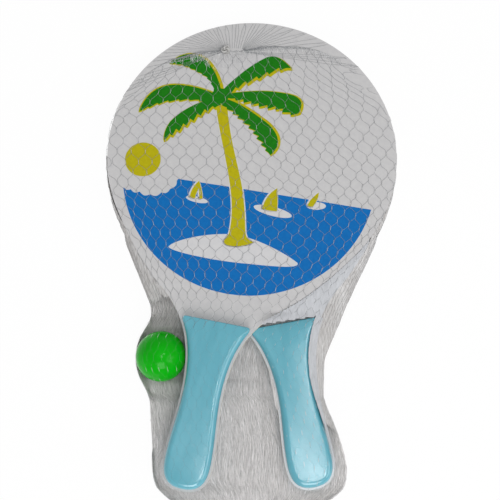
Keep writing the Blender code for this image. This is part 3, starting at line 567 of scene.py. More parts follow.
# the surface that the net sleeve follows, worked out in the blade's frame
sleeve = {
    "off": 0.00026, "halfRing": 140, "topRows": 40, "faceRows": 10, "wallRows": 3, "rowStep": 0.0030,
    "wrapFrom": 0.0300, "foldLeft": 148.5, "foldRight": 43.8, "sideBand": 0.0040, "rimEven": 0.5,
    "knot": (-0.0222, 0.0936), "knotRing": 0.0030, "second": (-0.0093, 0.0926), "handOver": 0.0300,
    "fold": ((-0.1007, 0.0620), (-0.0869, 0.0742), (-0.0700, 0.0852), (-0.0452, 0.0912), (-0.0222, 0.0940),
             (-0.0093, 0.0930), (0.0080, 0.0966), (0.0413, 0.0970), (0.0584, 0.0930), (0.0837, 0.0805)),
    "puffAside": 0.0028, "puffUp": 0.0006, "bridge": ((-0.2720, 0.0100), (-0.2600, 0.0200)),
    "neckRing": 0.0042, "neckUp": 0.0070, "gather": 0.0330,
    # how far down, and where the net's edge lies across
    "left": ((0.0705, -0.1037), (0.1205, -0.0827), (0.1368, -0.0815), (0.1850, -0.0828), (0.2319, -0.0794),
             (0.2549, -0.0773), (0.2625, -0.0755), (0.2700, -0.0660), (0.2768, -0.0549)),
    "right": ((0.0705, 0.1013), (0.1205, 0.0779), (0.1530, 0.0634), (0.1659, 0.0583), (0.2008, 0.0569),
              (0.2164, 0.0622), (0.2319, 0.0690), (0.2472, 0.0735), (0.2549, 0.0749), (0.2625, 0.0739),
              (0.2700, 0.0667), (0.2768, 0.0556)),
    "sideUp": (0.0140, 0.0060), "calm": 12, "calmBy": 0.66, "calmSide": 22,
}
endY = paddle["bladeRadius"] - paddle["length"]
boardHalf, gripSide = paddle["boardHalf"], paddle["boardHalf"] + paddle["glue"] + cheek["thick"]


def ripples(*places):
    # smooth noise at places given as three numbers or arrays
    return np.array([noise.noise(Vector(place)) for place in zip(*np.broadcast_arrays(*places))])


def wrapped():
    # places on all that the net lies over, with the lines of its own two edges
    spots = []
    for place in (frontLow, backLow):
        for side in (-1, 1):
            spots += [place @ Vector((p.x, p.y, side * boardHalf)) for p in boardLoop]
            spots += [place @ Vector((p.x, p.y, side * gripSide)) for p in cheekOutline()]
    for edge in (sleeve["left"], sleeve["right"]):
        reach = edge[-1][0] - edge[0][0]
        for (d0, x0), (d1, x1) in zip(edge, edge[1:]):
            for i in range(17):
                down, x = d0 + (d1 - d0) * i / 16, x0 + (x1 - x0) * i / 16
                share = (down - edge[0][0]) / reach
                spots.append(Vector((x, -down, sleeve["sideUp"][0] * (1 - share) + sleeve["sideUp"][1] * share)))
    centre = Vector(ball["centre"]) - shift
    for i in range(17):
        for k in range(32):
            up, about = math.pi * (i / 16 - 0.5), math.tau * k / 32
            facing = Vector((math.cos(up) * math.cos(about), math.cos(up) * math.sin(about), math.sin(up)))
            spots.append(centre + facing * ball["radius"])
    return np.array(spots)


def evenly(path, count):
    # the same path in steps of one length
    path = np.array([tuple(p) for p in path])
    walked = np.concatenate([[0], np.cumsum(np.linalg.norm(np.diff(path, axis=0), axis=1))])
    even = np.linspace(0, walked[-1], count + 1)
    return np.stack([np.interp(even, walked, path[:, c]) for c in range(path.shape[1])], axis=1)


def ringAt(spots, y):
    # the hull of what is wrapped, in XZ: half the ring over the top, half underneath
    tilts = (0, 22, 45, 62, 74, 82, 87, 90)
    turns = [math.radians(a) for a in tilts] + [math.pi - math.radians(a) for a in tilts[-2::-1]]
    turns += [-a for a in turns[1:-1]]
    ring = [Vector((-1, -1)), Vector((1, -1)), Vector((1, 1)), Vector((-1, 1))]
    sag = (y - spots[:, 1]) ** 2 / (2 * np.interp(y, *zip(*sleeve["bridge"])))
    for a in turns:
        facing = Vector((math.cos(a), math.sin(a)))
        reach = float((spots[:, 0] * facing.x + spots[:, 2] * facing.y - sag).max()) + sleeve["off"]
        kept = []
        for here, after in zip(ring, ring[1:] + ring[:1]):
            overHere, overAfter = here.dot(facing) - reach, after.dot(facing) - reach
            if overHere <= 0:
                kept.append(here)
            if overHere * overAfter < 0:
                kept.append(here + (after - here) * overHere / (overHere - overAfter))
        ring = kept
    left, right = min(p.x for p in ring), max(p.x for p in ring)
    level = (min(p.y for p in ring) + max(p.y for p in ring)) / 2
    ends = []
    for x in (left, right):
        atSide = sorted(p.y for p in ring if abs(p.x - x) < 1e-5)
        ends.append(Vector((x, min(max(level, atSide[0]), atSide[-1]))))
    chord = ends[1] - ends[0]
    upper = [p for p in ring if chord.cross(p - ends[0]) > 1e-9]
    lower = [p for p in ring if chord.cross(p - ends[0]) < -1e-9]
    upper.sort(key=lambda p: (p.x, p.y if p.x < (left + right) / 2 else -p.y))
    lower.sort(key=lambda p: (p.x, -p.y if p.x < (left + right) / 2 else p.y))
    over = evenly([ends[0], *upper, ends[1]], sleeve["halfRing"])
    under = evenly([ends[0], *lower, ends[1]], sleeve["halfRing"])
    return [Vector((x, y, z)) for x, z in [*over, *under[-2:0:-1]]]


def heightOn(place, own, x, y):
    # how high a board's plane, own above its middle, stands at x and y
    facing, at = place.to_3x3() @ Vector((0, 0, 1)), place @ Vector((0, 0, own))
    return at.z - (facing.x * (x - at.x) + facing.y * (y - at.y)) / facing.z


def overFront(x, y):
    return heightOn(frontLow, boardHalf, x, y) + sleeve["off"]


def underBack(x, y):
    return heightOn(backLow, -boardHalf, x, y) - sleeve["off"]


def rimSpot(angle, share):
    # beside the blades' rims, from the upper face down to the lower one
    toward = Vector((math.cos(angle), math.sin(angle)))
    moved = max(0.0, lie["backAt"][0] * toward.x + lie["backAt"][1] * toward.y)
    x, y = toward * (paddle["bladeRadius"] + sleeve["off"] * 0.4 + moved * min(1, share * 3))
    top, bottom = overFront(x, y), underBack(x, y)
    return Vector((x, y, top + (bottom - top) * share))


def bend(start, leave, end, arrive, t):
    # a smooth way between two places with a direction at each
    span = (end - start).length
    return (start * (2 * t ** 3 - 3 * t * t + 1) + leave * span * (t ** 3 - 2 * t * t + t)
            + end * (3 * t * t - 2 * t ** 3) + arrive * span * (t ** 3 - t * t))


knotSpot, secondSpot = Vector(sleeve["knot"]), Vector(sleeve["second"])


def gatherFor(x):
    # the net is drawn together twice: threads that lead left come from the knot, the others from beside it
    share = min(1.0, max(0.0, (x + sleeve["handOver"]) / sleeve["handOver"]))
    return knotSpot.lerp(secondSpot, share)


def rimAngle(direction):
    # where a line from the knot meets the rim
    toward = Vector((math.cos(direction), math.sin(direction)))
    ahead = knotSpot.dot(toward)
    reach = math.sqrt(ahead * ahead + paddle["bladeRadius"] ** 2 - knotSpot.length_squared) - ahead
    hit = knotSpot + toward * reach
    return math.atan2(hit.y, hit.x)


def faceColumn(across, target):
    # out along the fold, then down the face
    foldX, foldY = zip(*sleeve["fold"])
    stop = foldX[0] + (foldX[-1] - foldX[0]) * across
    start = gatherFor(stop)
    rise = target.z - overFront(*target.xy)
    turn, rest = sleeve["faceRows"], sleeve["topRows"] - sleeve["faceRows"]
    column = []
    for i in range(turn):
        x = start.x + (stop - start.x) * i / turn
        puff = math.sin(math.pi * i / turn) * noise.noise(Vector((across * 31, i * 0.2, 2.0)))
        y = float(np.interp(x, foldX, foldY)) + puff * sleeve["puffAside"]
        column.append((x, y, overFront(x, y) + abs(puff) * sleeve["puffUp"]))
    corner = Vector((stop, float(np.interp(stop, foldX, foldY))))
    for i in range(rest + 1):
        spot = bend(corner, Vector((0, -1)), target.xy, Vector((0, -1)), i / rest)
        if spot.length > paddle["bladeRadius"]:
            spot = spot.normalized() * paddle["bladeRadius"]
        column.append((*spot, overFront(*spot) + rise * i / rest))
    return column


def overColumn(angle, level, target):
    # out to the rim, down beside it to a level, then back under the boards
    corner, below = rimSpot(angle, 0), rimSpot(angle, level)
    gatherSpot = gatherFor(corner.x)
    leave = (corner.xy - gatherSpot).normalized()
    start = gatherSpot + leave * sleeve["knotRing"]
    column = []
    for i in range(sleeve["faceRows"]):
        spot = start.lerp(corner.xy, i / sleeve["faceRows"])
        column.append((*spot, overFront(*spot)))
    column += [tuple(corner.lerp(below, i / sleeve["wallRows"])) for i in range(sleeve["wallRows"])]
    rest = sleeve["topRows"] - sleeve["faceRows"] - sleeve["wallRows"]
    outward = corner.xy.normalized()
    turnedBack = leave - outward * 2 * leave.dot(outward)
    stop = math.atan2(target.y, target.x)
    drop = underBack(*target.xy) - target.z
    for i in range(rest + 1):
        share = i / rest
        if level < 1:
            here = angle + (stop - angle) * share
            spot = rimSpot(here, level)
            reach = spot.xy.length * (1 - share) + target.xy.length * share
            swung = Vector((reach * math.cos(here), reach * math.sin(here), spot.z))
            column.append(tuple(swung.lerp(target, share ** 3)))
        else:
            flat = bend(corner.xy, turnedBack, target.xy, Vector((0, -1)), share)
            column.append((*flat, underBack(*flat) - drop * share))
    return column


def sleeveSurface():
    spots, half = wrapped(), sleeve["halfRing"]
    first = ringAt(spots, sleeve["wrapFrom"])
    left, right = first[0].x, first[half].x
    foldLeft, foldRight = math.radians(sleeve["foldLeft"]), math.radians(sleeve["foldRight"])
    toLeft, toRight = [(rimSpot(a, 0).xy - knotSpot).normalized() for a in (foldLeft, foldRight)]
    columns = []
    for j, target in enumerate(first):
        across = j / half if j <= half else 2 - j / half
        top, bottom = overFront(*target.xy), underBack(*target.xy)
        level = min(0.98, max(0.02, (top - target.z) / (top - bottom)))
        beyond = (across if across < 0.5 else across - 1) * (foldRight - foldLeft) * (-1 if j > half else 1)
        if target.x < left + sleeve["sideBand"]:
            columns.append(overColumn(foldLeft - beyond, level, target))
        elif target.x > right - sleeve["sideBand"]:
            columns.append(overColumn(foldRight - beyond, level, target))
        elif j < half:
            columns.append(faceColumn(across, target))
        else:
            swept = math.atan2(toLeft.y, toLeft.x) % math.tau
            swept += (math.atan2(toRight.y, toRight.x) - swept) * across
            even = foldLeft + (foldRight - foldLeft) * across
            angle = even * sleeve["rimEven"] + rimAngle(swept) * (1 - sleeve["rimEven"])
            columns.append(overColumn(angle, 1, target))
    rows = list(np.array(columns).transpose(1, 0, 2))
    stop = endY - sleeve["rowStep"]
    count = round((sleeve["wrapFrom"] - stop) / sleeve["rowStep"])
    for i in range(1, count + 1):
        y = sleeve["wrapFrom"] + (stop - sleeve["wrapFrom"]) * i / count
        rows.append(np.array([tuple(p) for p in ringAt(spots, y)]))
    last, neckY = rows[-1], endY - sleeve["gather"]
    turn = math.pi - math.pi * np.arange(2 * half) / half
    ring = sleeve["neckRing"]
    neck = np.stack([ring * np.cos(turn), np.full_like(turn, neckY), sleeve["neckUp"] + ring * np.sin(turn)], 1)
    count = round((stop - neckY) / sleeve["rowStep"])
    for i in range(1, count + 1):
        share = i / count
        row = last + (neck - last) * (share * (2 - share) + share * share * (3 - 2 * share)) / 2
        row[:, 1] = stop + (neckY - stop) * share
        rows.append(row)
    return np.array(rows)


def straightened(rows):
    # the front's columns drift less from row to row; each place stays on its own ring
    half, first = sleeve["halfRing"], sleeve["topRows"] + 1
    share = np.clip(np.minimum(np.arange(half + 1), half - np.arange(half + 1)) / sleeve["calmSide"], 0, 1)
    across = rows[first:, :half + 1, 0].copy()
    calm = sleeve["calmBy"]
    for _ in range(sleeve["calm"]):
        across[1:-1] = across[1:-1] * (1 - share * calm) + (across[:-2] + across[2:]) * share * calm / 2
    for ring, x in zip(rows[first:], across):
        top = ring[:half + 1].copy()
        order = np.argsort(top[:, 0], kind="stable")
        inner = share > 0
        ring[:half + 1, 2][inner] = np.interp(x, top[order, 0], top[order, 2])[inner]
        ring[:half + 1, 0][inner] = x[inner]
    return rows


surface = straightened(sleeveSurface()) + np.array(shift)
rowCount = len(surface)
print("sleeve surface", surface.shape)


def onSleeve(around, row):
    # places on the surface for arrays of shares round it and row numbers along it
    ring = surface.shape[1]
    r = np.clip(row, 0, rowCount - 1.0001)
    c = (around % 1.0) * ring
    r0, c0 = r.astype(int), c.astype(int) % ring
    fr, fc, c1 = (r - r0)[:, None], (c - np.floor(c))[:, None], (c0 + 1) % ring
    upper = surface[r0, c0] * (1 - fc) + surface[r0, c1] * fc
    lower = surface[r0 + 1, c0] * (1 - fc) + surface[r0 + 1, c1] * fc
    return upper * (1 - fr) + lower * fr


def outwardOn(around, row):
    side = onSleeve(around + 0.004, row) - onSleeve(around - 0.004, row)
    onward = onSleeve(around, row + 0.6) - onSleeve(around, row - 0.6)
    facing = np.cross(onward, side)
    return facing / np.maximum(np.linalg.norm(facing, axis=1), 1e-9)[:, None]


# the net: threads that sway from one neighbour to the other and touch it at each joint
net = {
    "threads": 88, "thick": 0.00012, "joint": 0.00012, "perCell": 12, "touch": 0.95, "flat": 1.35, "ripple": 0.00008,
    "lean": 8.0, "leanFrom": (0.20, 0.80), "drift": 0.0032, "driftAt": (5, 0.11), "straight": 3, "jointUp": 0.00006,
    # on the left the sleeve has been twisted round a little
    "twist": 0.045, "twistDown": (-0.06, 0.06), "twistRound": ((0, 1), (0.10, 1), (0.42, 0), (0.80, 0), (1, 1)),
    # further down the front's cells stay wide, and the net bunches at its sides instead
    "loose": 0.30, "looseDown": (-0.01, 0.09),
    # how far down the front, and how long a cell is there
    "cell": ((-0.0950, 0.0205), (-0.0300, 0.0194), (0.0300, 0.0174), (0.1500, 0.0178)), "columns": (20, 120),
    # cells close up outside the boards' edges, but not above openFrom
    "edge": (-0.0010, 0.0020), "closed": 0.1, "openFrom": 0.0300, "blur": 9,
    # joints get a painted glint above gripsFrom, right of rightFrom and over the ball outside its middle band
    "gripsFrom": -0.0340, "rightFrom": 0.0080, "ballBand": 0.4,
}
tight = {"ball": (0.0120, 0.0070), "grips": (-0.0330, -0.0430), "tint": (0.78, 0.97)}


def clearThread(name, tones, clear):
    # thin drawn plastic: part of what lies behind shows through, and more where the net is pulled tight,
    # over the ball and the grips
    made, tree, shader = startMaterial(name, {"Roughness": 0.28})
    spot = spotOn(tree, (1, 1, 1))
    twoTones(tree, spot, 420, 3, tones, shader)
    reach = addNode(tree, "ShaderNodeVectorMath", {0: spot, 1: ball["centre"]}, "DISTANCE").outputs["Value"]
    up = addNode(tree, "ShaderNodeSeparateXYZ", {0: spot}).outputs["Y"]
    onBall = spread(tree, reach, *(ball["radius"] + off for off in tight["ball"]), 0, 1)
    onGrips = spread(tree, up, *tight["grips"], 0, 1)
    pulled = addNode(tree, "ShaderNodeMath", {0: onBall, 1: onGrips}, "MAXIMUM").outputs[0]
    through = addNode(tree, "ShaderNodeBsdfTransparent", {"Color": spread(tree, pulled, 0, 1, *tight["tint"])})
    mixedOut(tree, spread(tree, pulled, 0, 1, *clear), shader, through)
    return made


threadGrey = clearThread("threadGrey", ((172, 175, 178), (202, 205, 207)), (0.58, 0.95))
# a paler copy of the thread finish: painted glints for the joints
paintedGlintThread = clearThread("paintedGlintThread", ((226, 228, 230), (246, 247, 248)), (0.25, 0.60))

# how many cells lie above each row, from the rows' mean spacing on the front; none on the way out to the fold
front = surface[:, slice(*net["columns"])]
rowDown = shift.y - front[:, :, 1].mean(axis=1)
stepLength = np.linalg.norm(np.diff(front, axis=0), axis=2).mean(axis=1)
cellHere = np.interp((rowDown[1:] + rowDown[:-1]) / 2, *zip(*net["cell"]))
cellsAt = np.concatenate([[0], np.cumsum(stepLength / cellHere)])
cellsAt = np.maximum(0, cellsAt - cellsAt[sleeve["faceRows"]])
outlineDown, outlineHalf = [-p.y for p in halfOutline()], [p.x for p in halfOutline()]


def insideBoard(place, spot):
    # how far inside a board's outline a place lies, seen square to the board
    own = place.inverted() @ Vector(spot)
    return float(np.interp(-own.y, outlineDown, outlineHalf, 0, 0)) - abs(own.x)


def insideEither(spot):
    return max(insideBoard(frontPlace, spot), insideBoard(backPlace, spot))


def openShare(around, row):
    # the cells stand open over the boards and the ball, and close up where the net is bunched beside them
    spots = onSleeve(around, row)
    opened = np.interp([insideEither(s) for s in spots], net["edge"], (0, 1))
    overBall = np.linalg.norm(spots[:, :2] - np.array(ball["centre"])[:2], axis=1) < ball["radius"]
    opened[(spots[:, 1] > net["openFrom"]) | overBall] = 1
    even = np.full(net["blur"], 1 / net["blur"])
    blurred = np.convolve(np.pad(opened, net["blur"] // 2, mode="edge"), even, "valid")
    return blurred * (1 - net["closed"]) + net["closed"]


# where the joints get a painted glint
def getsPaintedGlint(spot):
    offBall = spot - np.array(ball["centre"])
    onBall = np.hypot(*offBall[:2]) < ball["radius"] and abs(offBall[1]) > net["ballBand"] * ball["radius"]
    return spot[1] > net["gripsFrom"] or onBall or spot[0] > net["rightFrom"]


joints = []   # where a thread of the front touches its neighbour, kept only where it gets a painted glint


def netPath(k):
    folded = sleeve["faceRows"]
    head = np.arange(0, folded, 0.5)
    phase = np.arange(0.02, cellsAt[-1], 1 / net["perCell"])
    row = np.concatenate([head, np.interp(phase, cellsAt[folded:], np.arange(folded, rowCount))])
    phase = np.concatenate([head * 0 + 0.02, phase])
    base = (k + 0.5) / net["threads"]
    overFrom, underFrom = net["leanFrom"]
    aside = net["lean"] * (max(0.0, base - overFrom) if base < 0.5 else max(0.0, underFrom - base))
    wave = np.clip(np.sin(math.tau * (phase - aside)) * net["flat"], -1, 1)
    wave *= np.clip((row - folded) / net["straight"] + 1, 0, 1)
    turn, (wide, along) = math.tau * base, net["driftAt"]
    drift = ripples(math.cos(turn) * wide, math.sin(turn) * wide, row * along) * net["drift"]
    down = np.interp(row, np.arange(rowCount), rowDown)
    twisted = np.interp(down, net["twistDown"], (0, net["twist"])) * np.interp(base, *zip(*net["twistRound"]))
    side = (base - 0.25) / 0.25
    loose = np.interp(down, net["looseDown"], (0, net["loose"])) * (base < 0.5)
    middle = base + drift + twisted + loose * 0.25 * side * (1 - side * side)
    reach = net["touch"] / (2 * net["threads"]) * (1 + loose * (1 - 3 * side * side)) * openShare(middle, row)
    around = middle + wave * (1 if k % 2 else -1) * reach
    path = onSleeve(around, row) + outwardOn(around, row) * net["ripple"] * np.cos(math.tau * phase * 2)[:, None]
    if k % 2 and base < 0.5:
        joined = np.flatnonzero(np.abs(wave) > 0.999)
        runs = np.split(joined, np.flatnonzero(np.diff(joined) > 1) + 1)
        joints.extend(path[run] + outwardOn(around[run], row[run]) * net["jointUp"]
                      for run in runs if len(run) > 1 and getsPaintedGlint(path[run].mean(axis=0)))
    return path


paths = [netPath(k) for k in range(net["threads"])]
half = net["threads"] // 2
for name, run in (("net_over", paths[:half]), ("net_under", paths[half:])):
    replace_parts(strung(name, run, net["thick"], threadGrey), "net_sleeve")
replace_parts(strung("net_joint_glints", joints, net["joint"], paintedGlintThread), "net_sleeve")
print("net made")

# bunched net: the loose folds that lie under and between the handles, the fan over the rim and the gather
bunch = {
    # how many strands, from where round the sleeve, and how far
    "gaps": (350, 0.502, 0.496), "fan": (20, 0.52, 0.46), "fold": (380, 0.02, 0.46),
    "thick": 0.00011, "lift": 0.0002, "gapStart": (0.076, 0.010), "gapStep": 1.2, "gapSway": 0.0009,
    "sunk": 0.00055, "raised": 0.00005, "fanThick": 0.00007, "fanSway": 0.0006,
    "fluffThick": 0.00012, "fluffSway": 0.0014, "fluffLift": 0.0004, "fluffStep": 0.4, "fluffReach": (2.0, 6.0),
    "fluffAt": (0.21, 0.06), "sparseTo": 0.13,
    "curls": 6, "curlStep": 0.0016, "curlWide": 0.0019, "curlHigh": 0.0017, "curlDown": 0.0006, "curlUp": 0.0009,
}
pressed = {
    "steps": 170, "pleat": 0.00022, "deep": 0.00025, "edge": 0.0003, "ragged": 0.006,
    # from where round the sleeve to where, and in how many columns
    "under": (0.5, 1.0, 320), "left": (0.0, 0.16, 130), "right": (0.34, 0.5, 130), "shoulder": (0.10, 0.47, 400),
    # the heights on the boards where each of them starts or ends
    "underFrom": (-0.092, 0.080), "leftTo": (-0.112, -0.124), "rightTo": (-0.205, -0.225),
    "shoulderFrom": -0.020, "shoulderTo": -0.252, "shoulderDeep": 0.00002, "pastShoulder": 0.0010,
}
# along the lower board's handle: own y, how far past its edge the net starts, and how far inside it ends
strip = {"from": 0.0002, "y": (-0.235, -0.190, -0.165), "past": (0.0002, 0.0030), "within": (0.0014, 0.0044)}
chance = random.Random(11)


def rowOf(y):
    # the row of the surface at a height on the boards, below the folded top
    return sleeve["topRows"] + (sleeve["wrapFrom"] - y) / sleeve["rowStep"]


def scattered(kind, i):
    # one strand's place round the sleeve, somewhere in its own share
    count, first, reach = bunch[kind]
    return first + reach * (i + chance.random()) / count


def wavyPath(share, rows, sway, lift, seed):
    # a loose strand down the rows that wanders aside and off the surface
    around = np.full(len(rows), share)
    wobble = ripples(seed * 7.3, rows * 0.9, 0.5) + 0.5 * ripples(seed * 3.1, rows * 2.7, 9.0)
    width = np.linalg.norm(onSleeve(around + 0.01, rows) - onSleeve(around - 0.01, rows), axis=1)
    place = around + wobble * sway / np.clip(width / 0.02, 0.02, 1)
    return onSleeve(place, rows) + outwardOn(place, rows) * (ripples(seed * 5.7, rows * 0.6, 3.5) * lift)[:, None]


def besideBoards(spot):
    return insideEither(spot) > pressed["edge"]


def awayFromShoulder(spot):
    # the lower board's shoulder and the strip along its handle are the places that stay covered
    own, inside = backPlace.inverted() @ Vector(spot), insideBoard(backPlace, spot)
    low, mid, high = strip["y"]
    alongGrip = own.y < -cheek["down"] - strip["from"]
    beyond = np.interp(own.y, (low, high), strip["past"]) if alongGrip else pressed["pastShoulder"]
    return (insideBoard(frontPlace, spot) > pressed["edge"] or inside < -beyond
            or (alongGrip and (own.x < 0 or inside > np.interp(own.y, (low, mid), strip["within"]))))


def pressedNet(name, finish, turns, starts, stops, leftOut=None, deep=pressed["deep"]):
    # layers of net that lie pressed together, in fine pleats, except where leftOut says so
    down = np.linspace(0, 1, pressed["steps"])
    shape = bmesh.new()
    bmesh.ops.create_grid(shape, x_segments=len(turns) - 1, y_segments=len(down) - 1, size=1)
    around = np.tile(turns, len(down))
    row = (starts + (stops - starts) * down[:, None] + 0 * turns).ravel()
    pleat = ripples(around * 190 + row * 0.35, row * 0.10, 7.0)
    spots = onSleeve(around, row) - outwardOn(around, row) * (deep + pressed["pleat"] * pleat)[:, None]
    for vert, spot in zip(shape.verts, spots):
        vert.co = spot
    if leftOut:
        bmesh.ops.delete(shape, geom=[v for v in shape.verts if leftOut(v.co)], context="VERTS")
    mesh = meshOf(shape, name)
    mesh.shade_smooth()
    piece = keepObject(name, mesh, finish)
    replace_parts(piece, "net_sleeve")


turns, (middle, rise) = np.linspace(*pressed["under"]), pressed["underFrom"]
pressedNet("net_pressed", gauze, turns, rowOf(middle + rise * np.abs((turns - 0.75) / 0.25) ** 4), rowCount - 1.01)
for side, inner in (("left", -1), ("right", 0)):
    turns, (near, far) = np.linspace(*pressed[side]), pressed[side + "To"]
    ragged = ripples(turns * 400, 0.5, 1.5) * pressed["ragged"]
    stops = rowOf(near + (far - near) * np.abs(turns - turns[inner]) / 0.16 + ragged)
    # beside the boards the pressed net takes the darker copy, painted shade
    pressedNet("net_pressed_" + side, shadedGauze, turns, rowOf(0.0), stops, besideBoards)
pressedNet("net_pressed_shoulder", shoulderGauze, np.linspace(*pressed["shoulder"]), rowOf(pressed["shoulderFrom"]),
           rowOf(pressed["shoulderTo"]), awayFromShoulder, pressed["shoulderDeep"])
under = []
for i in range(bunch["gaps"][0]):
    around = scattered("gaps", i)
    start, uneven = bunch["gapStart"]
    rows = np.arange(rowOf(-start - uneven * chance.random()), rowCount - 1, bunch["gapStep"])
    path = wavyPath(around, rows, bunch["gapSway"], bunch["lift"], i + 0.5)
    deep = bunch["sunk"] if i % 3 else -bunch["raised"]
    under.append(path - outwardOn(np.full(len(rows), around), rows) * deep)
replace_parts(strung("net_bunched_under", under, bunch["thick"], gauzeGrey), "net_sleeve")

fan = []
for i in range(bunch["fan"][0]):
    around = scattered("fan", i)
    fan.append(wavyPath(around, np.arange(0, sleeve["faceRows"], 0.5), bunch["fanSway"], bunch["lift"], i + 90.5))
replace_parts(strung("net_bunched_top", fan, bunch["fanThick"], paleThread), "net_sleeve")
fluff = []
for i in range(bunch["fold"][0]):
    around = scattered("fold", i)
    nearKnot = math.exp(-((around - bunch["fluffAt"][0]) / bunch["fluffAt"][1]) ** 2)
    if around < bunch["sparseTo"] and i % 4:
        continue
    start = sleeve["faceRows"] - 0.5 * chance.random()
    reach = (bunch["fluffReach"][0] + bunch["fluffReach"][1] * nearKnot) * chance.random()
    rows = np.arange(start, sleeve["faceRows"] + 1 + reach, bunch["fluffStep"])
    fluff.append(wavyPath(around, rows, bunch["fluffSway"], bunch["fluffLift"], i + 300.5))
for i in range(bunch["curls"]):   # small curls of thread beside the knot
    t = np.linspace(0, math.tau * 0.8, 40) + i * 2.1
    x = secondSpot.x + (i - 3.5) * bunch["curlStep"] + bunch["curlWide"] * np.cos(t) * (0.6 + 0.4 * np.cos(2 * t + i))
    y = secondSpot.y - bunch["curlDown"] + bunch["curlHigh"] * np.sin(t) * (0.6 + 0.4 * np.cos(3 * t))
    z = heightOn(frontLow, boardHalf, *secondSpot) + bunch["curlUp"] * (1 + np.sin(t * 2) / 3)
    fluff.append(np.stack([x, y, z], 1) + np.array(shift))
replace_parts(strung("net_fold_fluff", fluff, bunch["fluffThick"], paleThread), "net_sleeve")
print("bunched net made")

# the knot, the clip and the tail
knot = {"radius": 0.0040, "height": 0.0030, "strands": 7, "thick": 0.00024, "up": 0.0006}
knotAt = Vector((*sleeve["knot"], heightOn(frontLow, boardHalf, *sleeve["knot"]))) + shift
loops = []
for i in range(knot["strands"]):
    t = np.linspace(0, math.tau, 70)
    reach = knot["radius"] * (0.55 + 0.45 * chance.random())
    off = chance.random() * math.tau
    out = reach * (0.62 + 0.38 * np.cos(3 * t + off))
    x, y = out * np.cos(2 * t + off * 0.4), out * np.sin(2 * t + off * 0.4)
    z = knot["height"] * (0.5 + 0.36 * np.sin(3 * t + off)) + knot["up"]
    loops.append(np.stack([x, y, z], 1) + np.array(knotAt))
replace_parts(strung("top_knot_strands", loops, knot["thick"], gauzeGrey), "top_knot")

tail = {
    "stem": 0.0021, "end": 0.0058, "length": 0.0205, "strands": 110, "thick": 0.00022,
    "above": 0.0010, "waist": (0.0010, 0.0042, 0.0096), "curl": 0.12, "twist": 12,
    "clipAt": 0.0044, "clipLength": 0.0050, "clipGap": 0.00055, "clipWall": 0.0008, "clipEase": 0.00012,
    "dents": 3, "dent": 0.10,
}
neckAt = np.array((0, endY - sleeve["gather"], sleeve["neckUp"])) + np.array(shift)
tuft = []
for i in range(tail["strands"]):
    turn = math.tau * (i + chance.random()) / tail["strands"]
    deep = math.sqrt(0.15 + 0.85 * chance.random())
    ends = tail["length"] * (0.86 + 0.14 * chance.random())
    down = np.linspace(-tail["above"], ends, 16)
    flare = tail["end"] * (0.7 + 0.3 * chance.random())
    radii = (sleeve["neckRing"] * 0.96, sleeve["neckRing"] * 0.8, tail["stem"], tail["stem"], flare)
    radius = np.interp(down, (-tail["above"], *tail["waist"], ends), radii)
    twist = turn + tail["curl"] * np.sin(down * 900 + i) + down * tail["twist"]
    tuft.append(np.stack([np.cos(twist) * radius * deep, -down, np.sin(twist) * radius * deep], 1) + neckAt)
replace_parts(strung("net_tail_strands", tuft, tail["thick"], gauzeGrey), "net_tail")


def clipMesh(name):
    # a rolled band, crimped by three dents, its long edges eased
    shape = bmesh.new()
    bmesh.ops.create_circle(shape, segments=64, radius=tail["stem"] + tail["clipGap"] + tail["clipWall"])
    walls = bmesh.ops.extrude_edge_only(shape, edges=shape.edges[:])["geom"]
    raised = [g for g in walls if isinstance(g, bmesh.types.BMVert)]
    bmesh.ops.translate(shape, vec=(0, 0, tail["clipLength"]), verts=raised)
    for _ in range(3):
        across = [e for e in shape.edges if abs(e.verts[0].co.z - e.verts[1].co.z) > 1e-6]
        bmesh.ops.subdivide_edges(shape, edges=across, cuts=1, use_grid_fill=False)
    for vert in shape.verts:
        turn = math.atan2(vert.co.y, vert.co.x)
        mid = max(0.0, 1 - abs(vert.co.z / tail["clipLength"] - 0.5) * 2.6)
        dent = 1 - tail["dent"] * mid * max(0.0, math.cos(tail["dents"] * turn)) ** 2
        vert.co.x *= dent
        vert.co.y *= dent
    bmesh.ops.recalc_face_normals(shape, faces=shape.faces)
    holder = intoScene(name + "_raw", meshOf(shape, name))
    wall = holder.modifiers.new("wall", "SOLIDIFY")
    wall.thickness, wall.offset = tail["clipWall"], -1
    ease = holder.modifiers.new("ease", "BEVEL")
    ease.width, ease.segments, ease.limit_method = tail["clipEase"], 2, "ANGLE"
    mesh = finished(holder, name)
    seat = Matrix.Translation(Vector(neckAt) - Vector((0, tail["clipAt"], 0)))
    mesh.transform(seat @ Matrix.Rotation(math.pi / 2, 4, "X"))
    mesh.shade_smooth()
    mesh.set_sharp_from_angle(angle=math.radians(35))
    return mesh


piece = keepObject("crimp_clip_fine", clipMesh("crimp_clip_fine"), clipBright)
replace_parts(piece, "crimp_clip")
print("knot, clip and tail made")

# floor, light and camera
studio = {
    "sky": 0.59, "floor": 4.0, "floorAt": -0.0002, "floorGlow": 0.96, "aim": (0, -0.03, 0.02),
    # each lamp's place, its size and its power
    "key": ((0.12, -1.50, 1.36), (1.1, 1.1), 17.0), "window": ((0.23, -0.25, 1.9), (0.22, 0.44), 2.5),
    "side": ((0.50, 0.12, 1.85), (0.10, 0.42), 1.8), "fill": ((1.3, -0.5, 1.2), (1.0, 1.0), 6.5),
    "shelf": ((-0.20, 0.03, 1.9), (0.16, 0.22), 0.14),
}
view = {"lens": 60.03, "sensor": 36, "eye": (-0.000944, -0.106017, 0.685352), "aim": (-0.000944, 0.021513, 0.025562)}


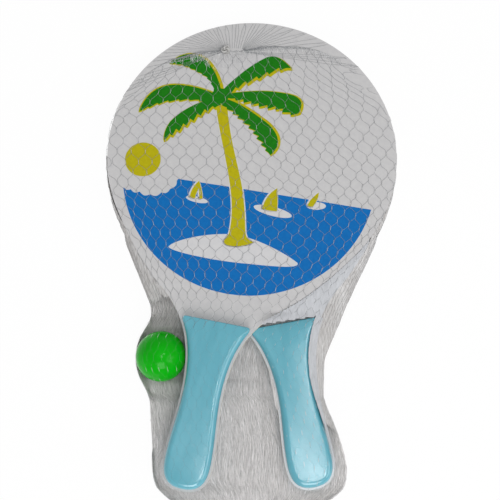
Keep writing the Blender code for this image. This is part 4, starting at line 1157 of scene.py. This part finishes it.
def floorMaterial():
    # plain to the camera and in reflections, with the object's shadow kept
    made, tree, shader = startMaterial("floorPaper", {"Roughness": 0.9, "Base Color": (0.86, 0.86, 0.86, 1)})
    glow = addNode(tree, "ShaderNodeEmission", {"Color": (1, 1, 1, 1)})
    rays = tree.nodes.new("ShaderNodeLightPath").outputs
    mirrored = addNode(tree, "ShaderNodeMath", {0: rays["Is Glossy Ray"], 1: rays["Is Transmission Ray"]}, "MAXIMUM")
    seen = addNode(tree, "ShaderNodeMath", {0: rays["Is Camera Ray"], 1: mirrored.outputs[0]}, "MAXIMUM")
    part = addNode(tree, "ShaderNodeMath", {0: seen.outputs[0], 1: studio["floorGlow"]}, "MULTIPLY")
    mixedOut(tree, part.outputs[0], shader, glow)
    return made


shape = bmesh.new()
bmesh.ops.create_grid(shape, x_segments=2, y_segments=2, size=studio["floor"])
bmesh.ops.translate(shape, vec=(0, 0, studio["floorAt"]), verts=shape.verts)
floor = intoScene("floor", meshOf(shape, "floor"))
floor.data.materials.append(floorMaterial())

world = bpy.data.worlds.new("studio")
world.use_nodes = True
world.node_tree.nodes["Background"].inputs["Color"].default_value = (1, 1, 1, 1)
world.node_tree.nodes["Background"].inputs["Strength"].default_value = studio["sky"]
bpy.context.scene.world = world
for name in ("key", "window", "side", "fill", "shelf"):
    spot, size, power = studio[name]
    lamp = bpy.data.lights.new(name, "AREA")
    lamp.shape, lamp.size, lamp.size_y, lamp.energy = "RECTANGLE", size[0], size[1], power
    holder = intoScene(name, lamp)
    holder.location = spot
    holder.rotation_euler = (Vector(spot) - Vector(studio["aim"])).to_track_quat("Z", "Y").to_euler()

camera = bpy.data.cameras.new("camera")
camera.lens, camera.sensor_width = view["lens"], view["sensor"]
eye = intoScene("camera", camera)
eye.location = view["eye"]
eye.rotation_euler = (Vector(view["aim"]) - eye.location).to_track_quat("-Z", "Y").to_euler()
bpy.context.scene.camera = eye
bpy.context.scene.view_settings.view_transform = "Standard"

bpy.context.view_layer.update()
print("done")
